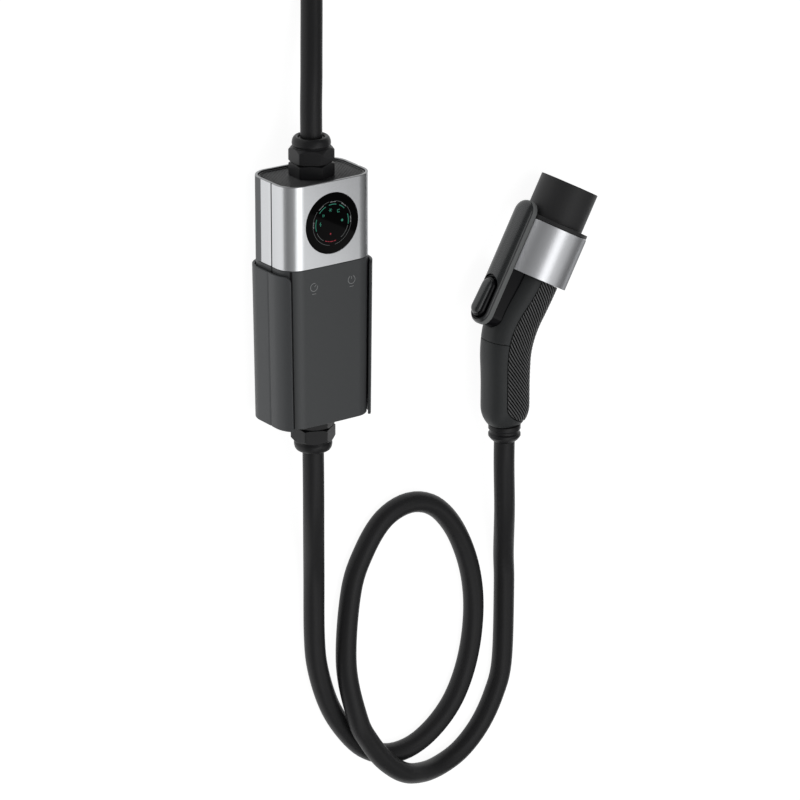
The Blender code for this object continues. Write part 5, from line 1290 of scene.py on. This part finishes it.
def make_latch():
    top = COVER_BOTTOM - TOUCH
    rows = [
        (-1.8 * MM, BASE_BOTTOM + 2 * MM), (-1.8 * MM, top), (-0.3 * MM, top), (-0.08 * MM, top - 0.1 * MM),
        (0, top - 0.3 * MM), (0, BASE_BOTTOM),
    ]
    base = [latch_ring(base_outline(grow), level) for grow, level in rows]
    stand_in("gloss_latch_base", loft(base), HANDLE, [GLOSS], "latch_base", level=True)

    band_top = COVER_BOTTOM + COVER_BAND
    dome_start = band_top + COVER_CREASE
    cavity = COVER_TOP - COVER_WALL
    cavity_edge = cavity - 0.4 * COVER_DOME
    inside = [(COVER_WALL + 0.25 * COVER_DOME, cavity), (COVER_WALL, cavity_edge), (COVER_WALL, COVER_BOTTOM)]
    band = [
        (0.25 * MM, COVER_BOTTOM), (0.07 * MM, COVER_BOTTOM + 0.07 * MM), (0.0, COVER_BOTTOM + 0.25 * MM),
        (0.0, band_top - 0.2 * MM), (0.06 * MM, band_top - 0.06 * MM), (0.25 * MM, band_top),
    ]
    rows = inside + band + [
        (0.6 * MM, band_top + 0.05 * MM), (0.75 * MM, band_top + COVER_CREASE / 2), (0.55 * MM, dome_start),
    ]
    rise = COVER_TOP - dome_start
    rows += [(COVER_CREASE / 2 + COVER_DOME * out, dome_start + rise * up) for out, up in quarter(17)]
    rings = [latch_ring(capsule(COVER_REAR, COVER_FRONT, COVER_HALF_WIDTH, inset), level) for inset, level in rows]
    hole = loft([latch_ring(button_outline(BUTTON_ROOM), level) for level in (cavity_edge, 2 * COVER_TOP)])
    band_rows = range(len(inside), len(inside + band))
    stand_in("latch_hood", loft(rings, paint=lambda row, column: int(row in band_rows)), HANDLE,
             [LATCH_FACE, BAND_AND_HIGHLIGHT], "latch_cover", cut=hole, sharp=50)


def make_button_surround():
    """The gloss recess that slopes from the cover's face down to the button's side."""
    room = BUTTON_ROOM - 0.05 * MM
    rows = [
        (room, 3.6 * MM), (room, 2.3 * MM), (room - 0.25 * MM, 2.0 * MM), (room - 0.75 * MM, 2.0 * MM),
        (BUTTON_GAP + 0.3 * MM, 2.7 * MM), (BUTTON_GAP, 3.0 * MM), (BUTTON_GAP, 3.6 * MM),
    ]
    rings = [latch_ring(button_outline(grow), COVER_TOP - below) for grow, below in rows]
    piece("button_recess", loft(rings, closed=True), HANDLE, [GLOSS], "latch_cover", sharp=50)


def make_button():
    """A bean-shaped button that stands prouder towards its rear, with a dark side under its face. Its rows are an
    inset and a share of its height."""
    straight = COVER_TOP - BUTTON_BOTTOM
    length = BUTTON_FRONT - BUTTON_REAR
    edge = BUTTON_EDGE
    rows = [(0.0, 0.0), (0.0, 0.50), (0.35 * MM, 0.56), (edge - 0.15 * MM, 0.64), (edge, 0.66)]
    rows += [(edge + BUTTON_DOME * out, 0.67 + 0.33 * up) for out, up in quarter(17)]
    rings = []
    for inset, share in rows:
        ring = []
        for across, along in capsule(BUTTON_REAR, BUTTON_FRONT, BUTTON_HALF_WIDTH, inset):
            back = ease((BUTTON_FRONT - along) / length * 1.25)
            proud = BUTTON_FRONT_PROUD + (BUTTON_PROUD - BUTTON_FRONT_PROUD) * back
            ring.append(Vector((-BUTTON_BOTTOM - (straight + proud) * share, along, across)))
        rings.append(ring)
    # Rows 0 to 2 are the dark side, row 3 is a thin lighter strip that is a painted highlight on the edge, and the
    # rest is the face.
    mesh = loft(rings, paint=lambda row, column: 1 if row < 3 else 2 if row == 3 else 0)
    stand_in("thumb_pad", mesh, HANDLE, [LATCH_FACE, GLOSS, BAND_AND_HIGHLIGHT], "thumb_button", body="latch", sharp=40)


def make_floor():
    """A pale floor that glows to white."""
    data = bpy.data.meshes.new("floor")
    corners = [(x * FLOOR_REACH, y * FLOOR_REACH, 0) for x, y in ((-1, -1), (1, -1), (1, 1), (-1, 1))]
    data.from_pydata(corners, [], [(0, 1, 2, 3)])
    data.materials.append(finish("pale_floor", (0.20, 0.20, 0.20), 0.7, 0.005, 400 * MM, bump=0.0,
                                 Emission_Color=(1, 1, 1, 1), Emission_Strength=FLOOR_GLOW))
    add_object("floor", data)


def make_lamps():
    """Two long soft boxes overhead."""
    for name, lamp in LAMPS.items():
        light = bpy.data.lights.new(name, "AREA")
        light.shape = "RECTANGLE"
        light.size = lamp["wide"]
        light.size_y = lamp["long"]
        light.energy = lamp["radiance"] * math.pi * lamp["wide"] * lamp["long"]
        made = add_object(name, light)
        z, x = around(lamp["distance"], lamp["angle"])
        made.location = (x, -lamp["rear"], z)
        made.rotation_euler = (made.location + Vector((0, lamp["rear"] / 2, 0))).to_track_quat("Z", "Y").to_euler()
        made.visible_camera = False


def make_world():
    """An even surround that darkens towards the horizon, with a glow low on its left."""
    world = bpy.data.worlds.new("studio")
    world.use_nodes = True
    tree = world.node_tree
    place = add_node(tree, "TexCoord", {})
    split = add_node(tree, "SeparateXYZ", {"Vector": place.outputs["Generated"]}).outputs
    ramp = add_node(tree, "ValToRGB", {"Fac": split["Z"]})
    for element, position, level in zip(ramp.color_ramp.elements, (0.0, ZENITH_AT), (HORIZON, ZENITH)):
        element.position = position
        element.color = (level, level, level, 1)
    low = add_node(tree, "MapRange", {"Value": split["Z"], "From Min": GLOW_HEIGHT, "From Max": 0.0})
    left = add_node(tree, "MapRange", {
        "Value": split["X"], "From Min": 0.0, "From Max": -1.0, "To Max": LEFT_GLOW,
    })
    glow = add_node(tree, "Math", {0: low.outputs["Result"], 1: left.outputs["Result"]}, operation="MULTIPLY")
    total = add_node(tree, "Math", {0: ramp.outputs["Color"], 1: glow.outputs[0]})
    feed(tree, tree.nodes["Background"], {"Color": total.outputs[0]})
    bpy.context.scene.world = world
    bpy.context.scene.view_settings.view_transform = "Standard"


make_camera()
make_cords()
dress_carried()
make_sleeves()
make_caps()
make_screws()
make_cradle()
make_dial()
make_touch_signs()
make_gland("supply", TOP_GLAND)
make_gland("vehicle", BOTTOM_GLAND)
make_nose()
make_contacts()
make_grip()
make_insert()
make_tail()
make_latch()
make_button_surround()
make_button()
make_floor()
make_lamps()
make_world()
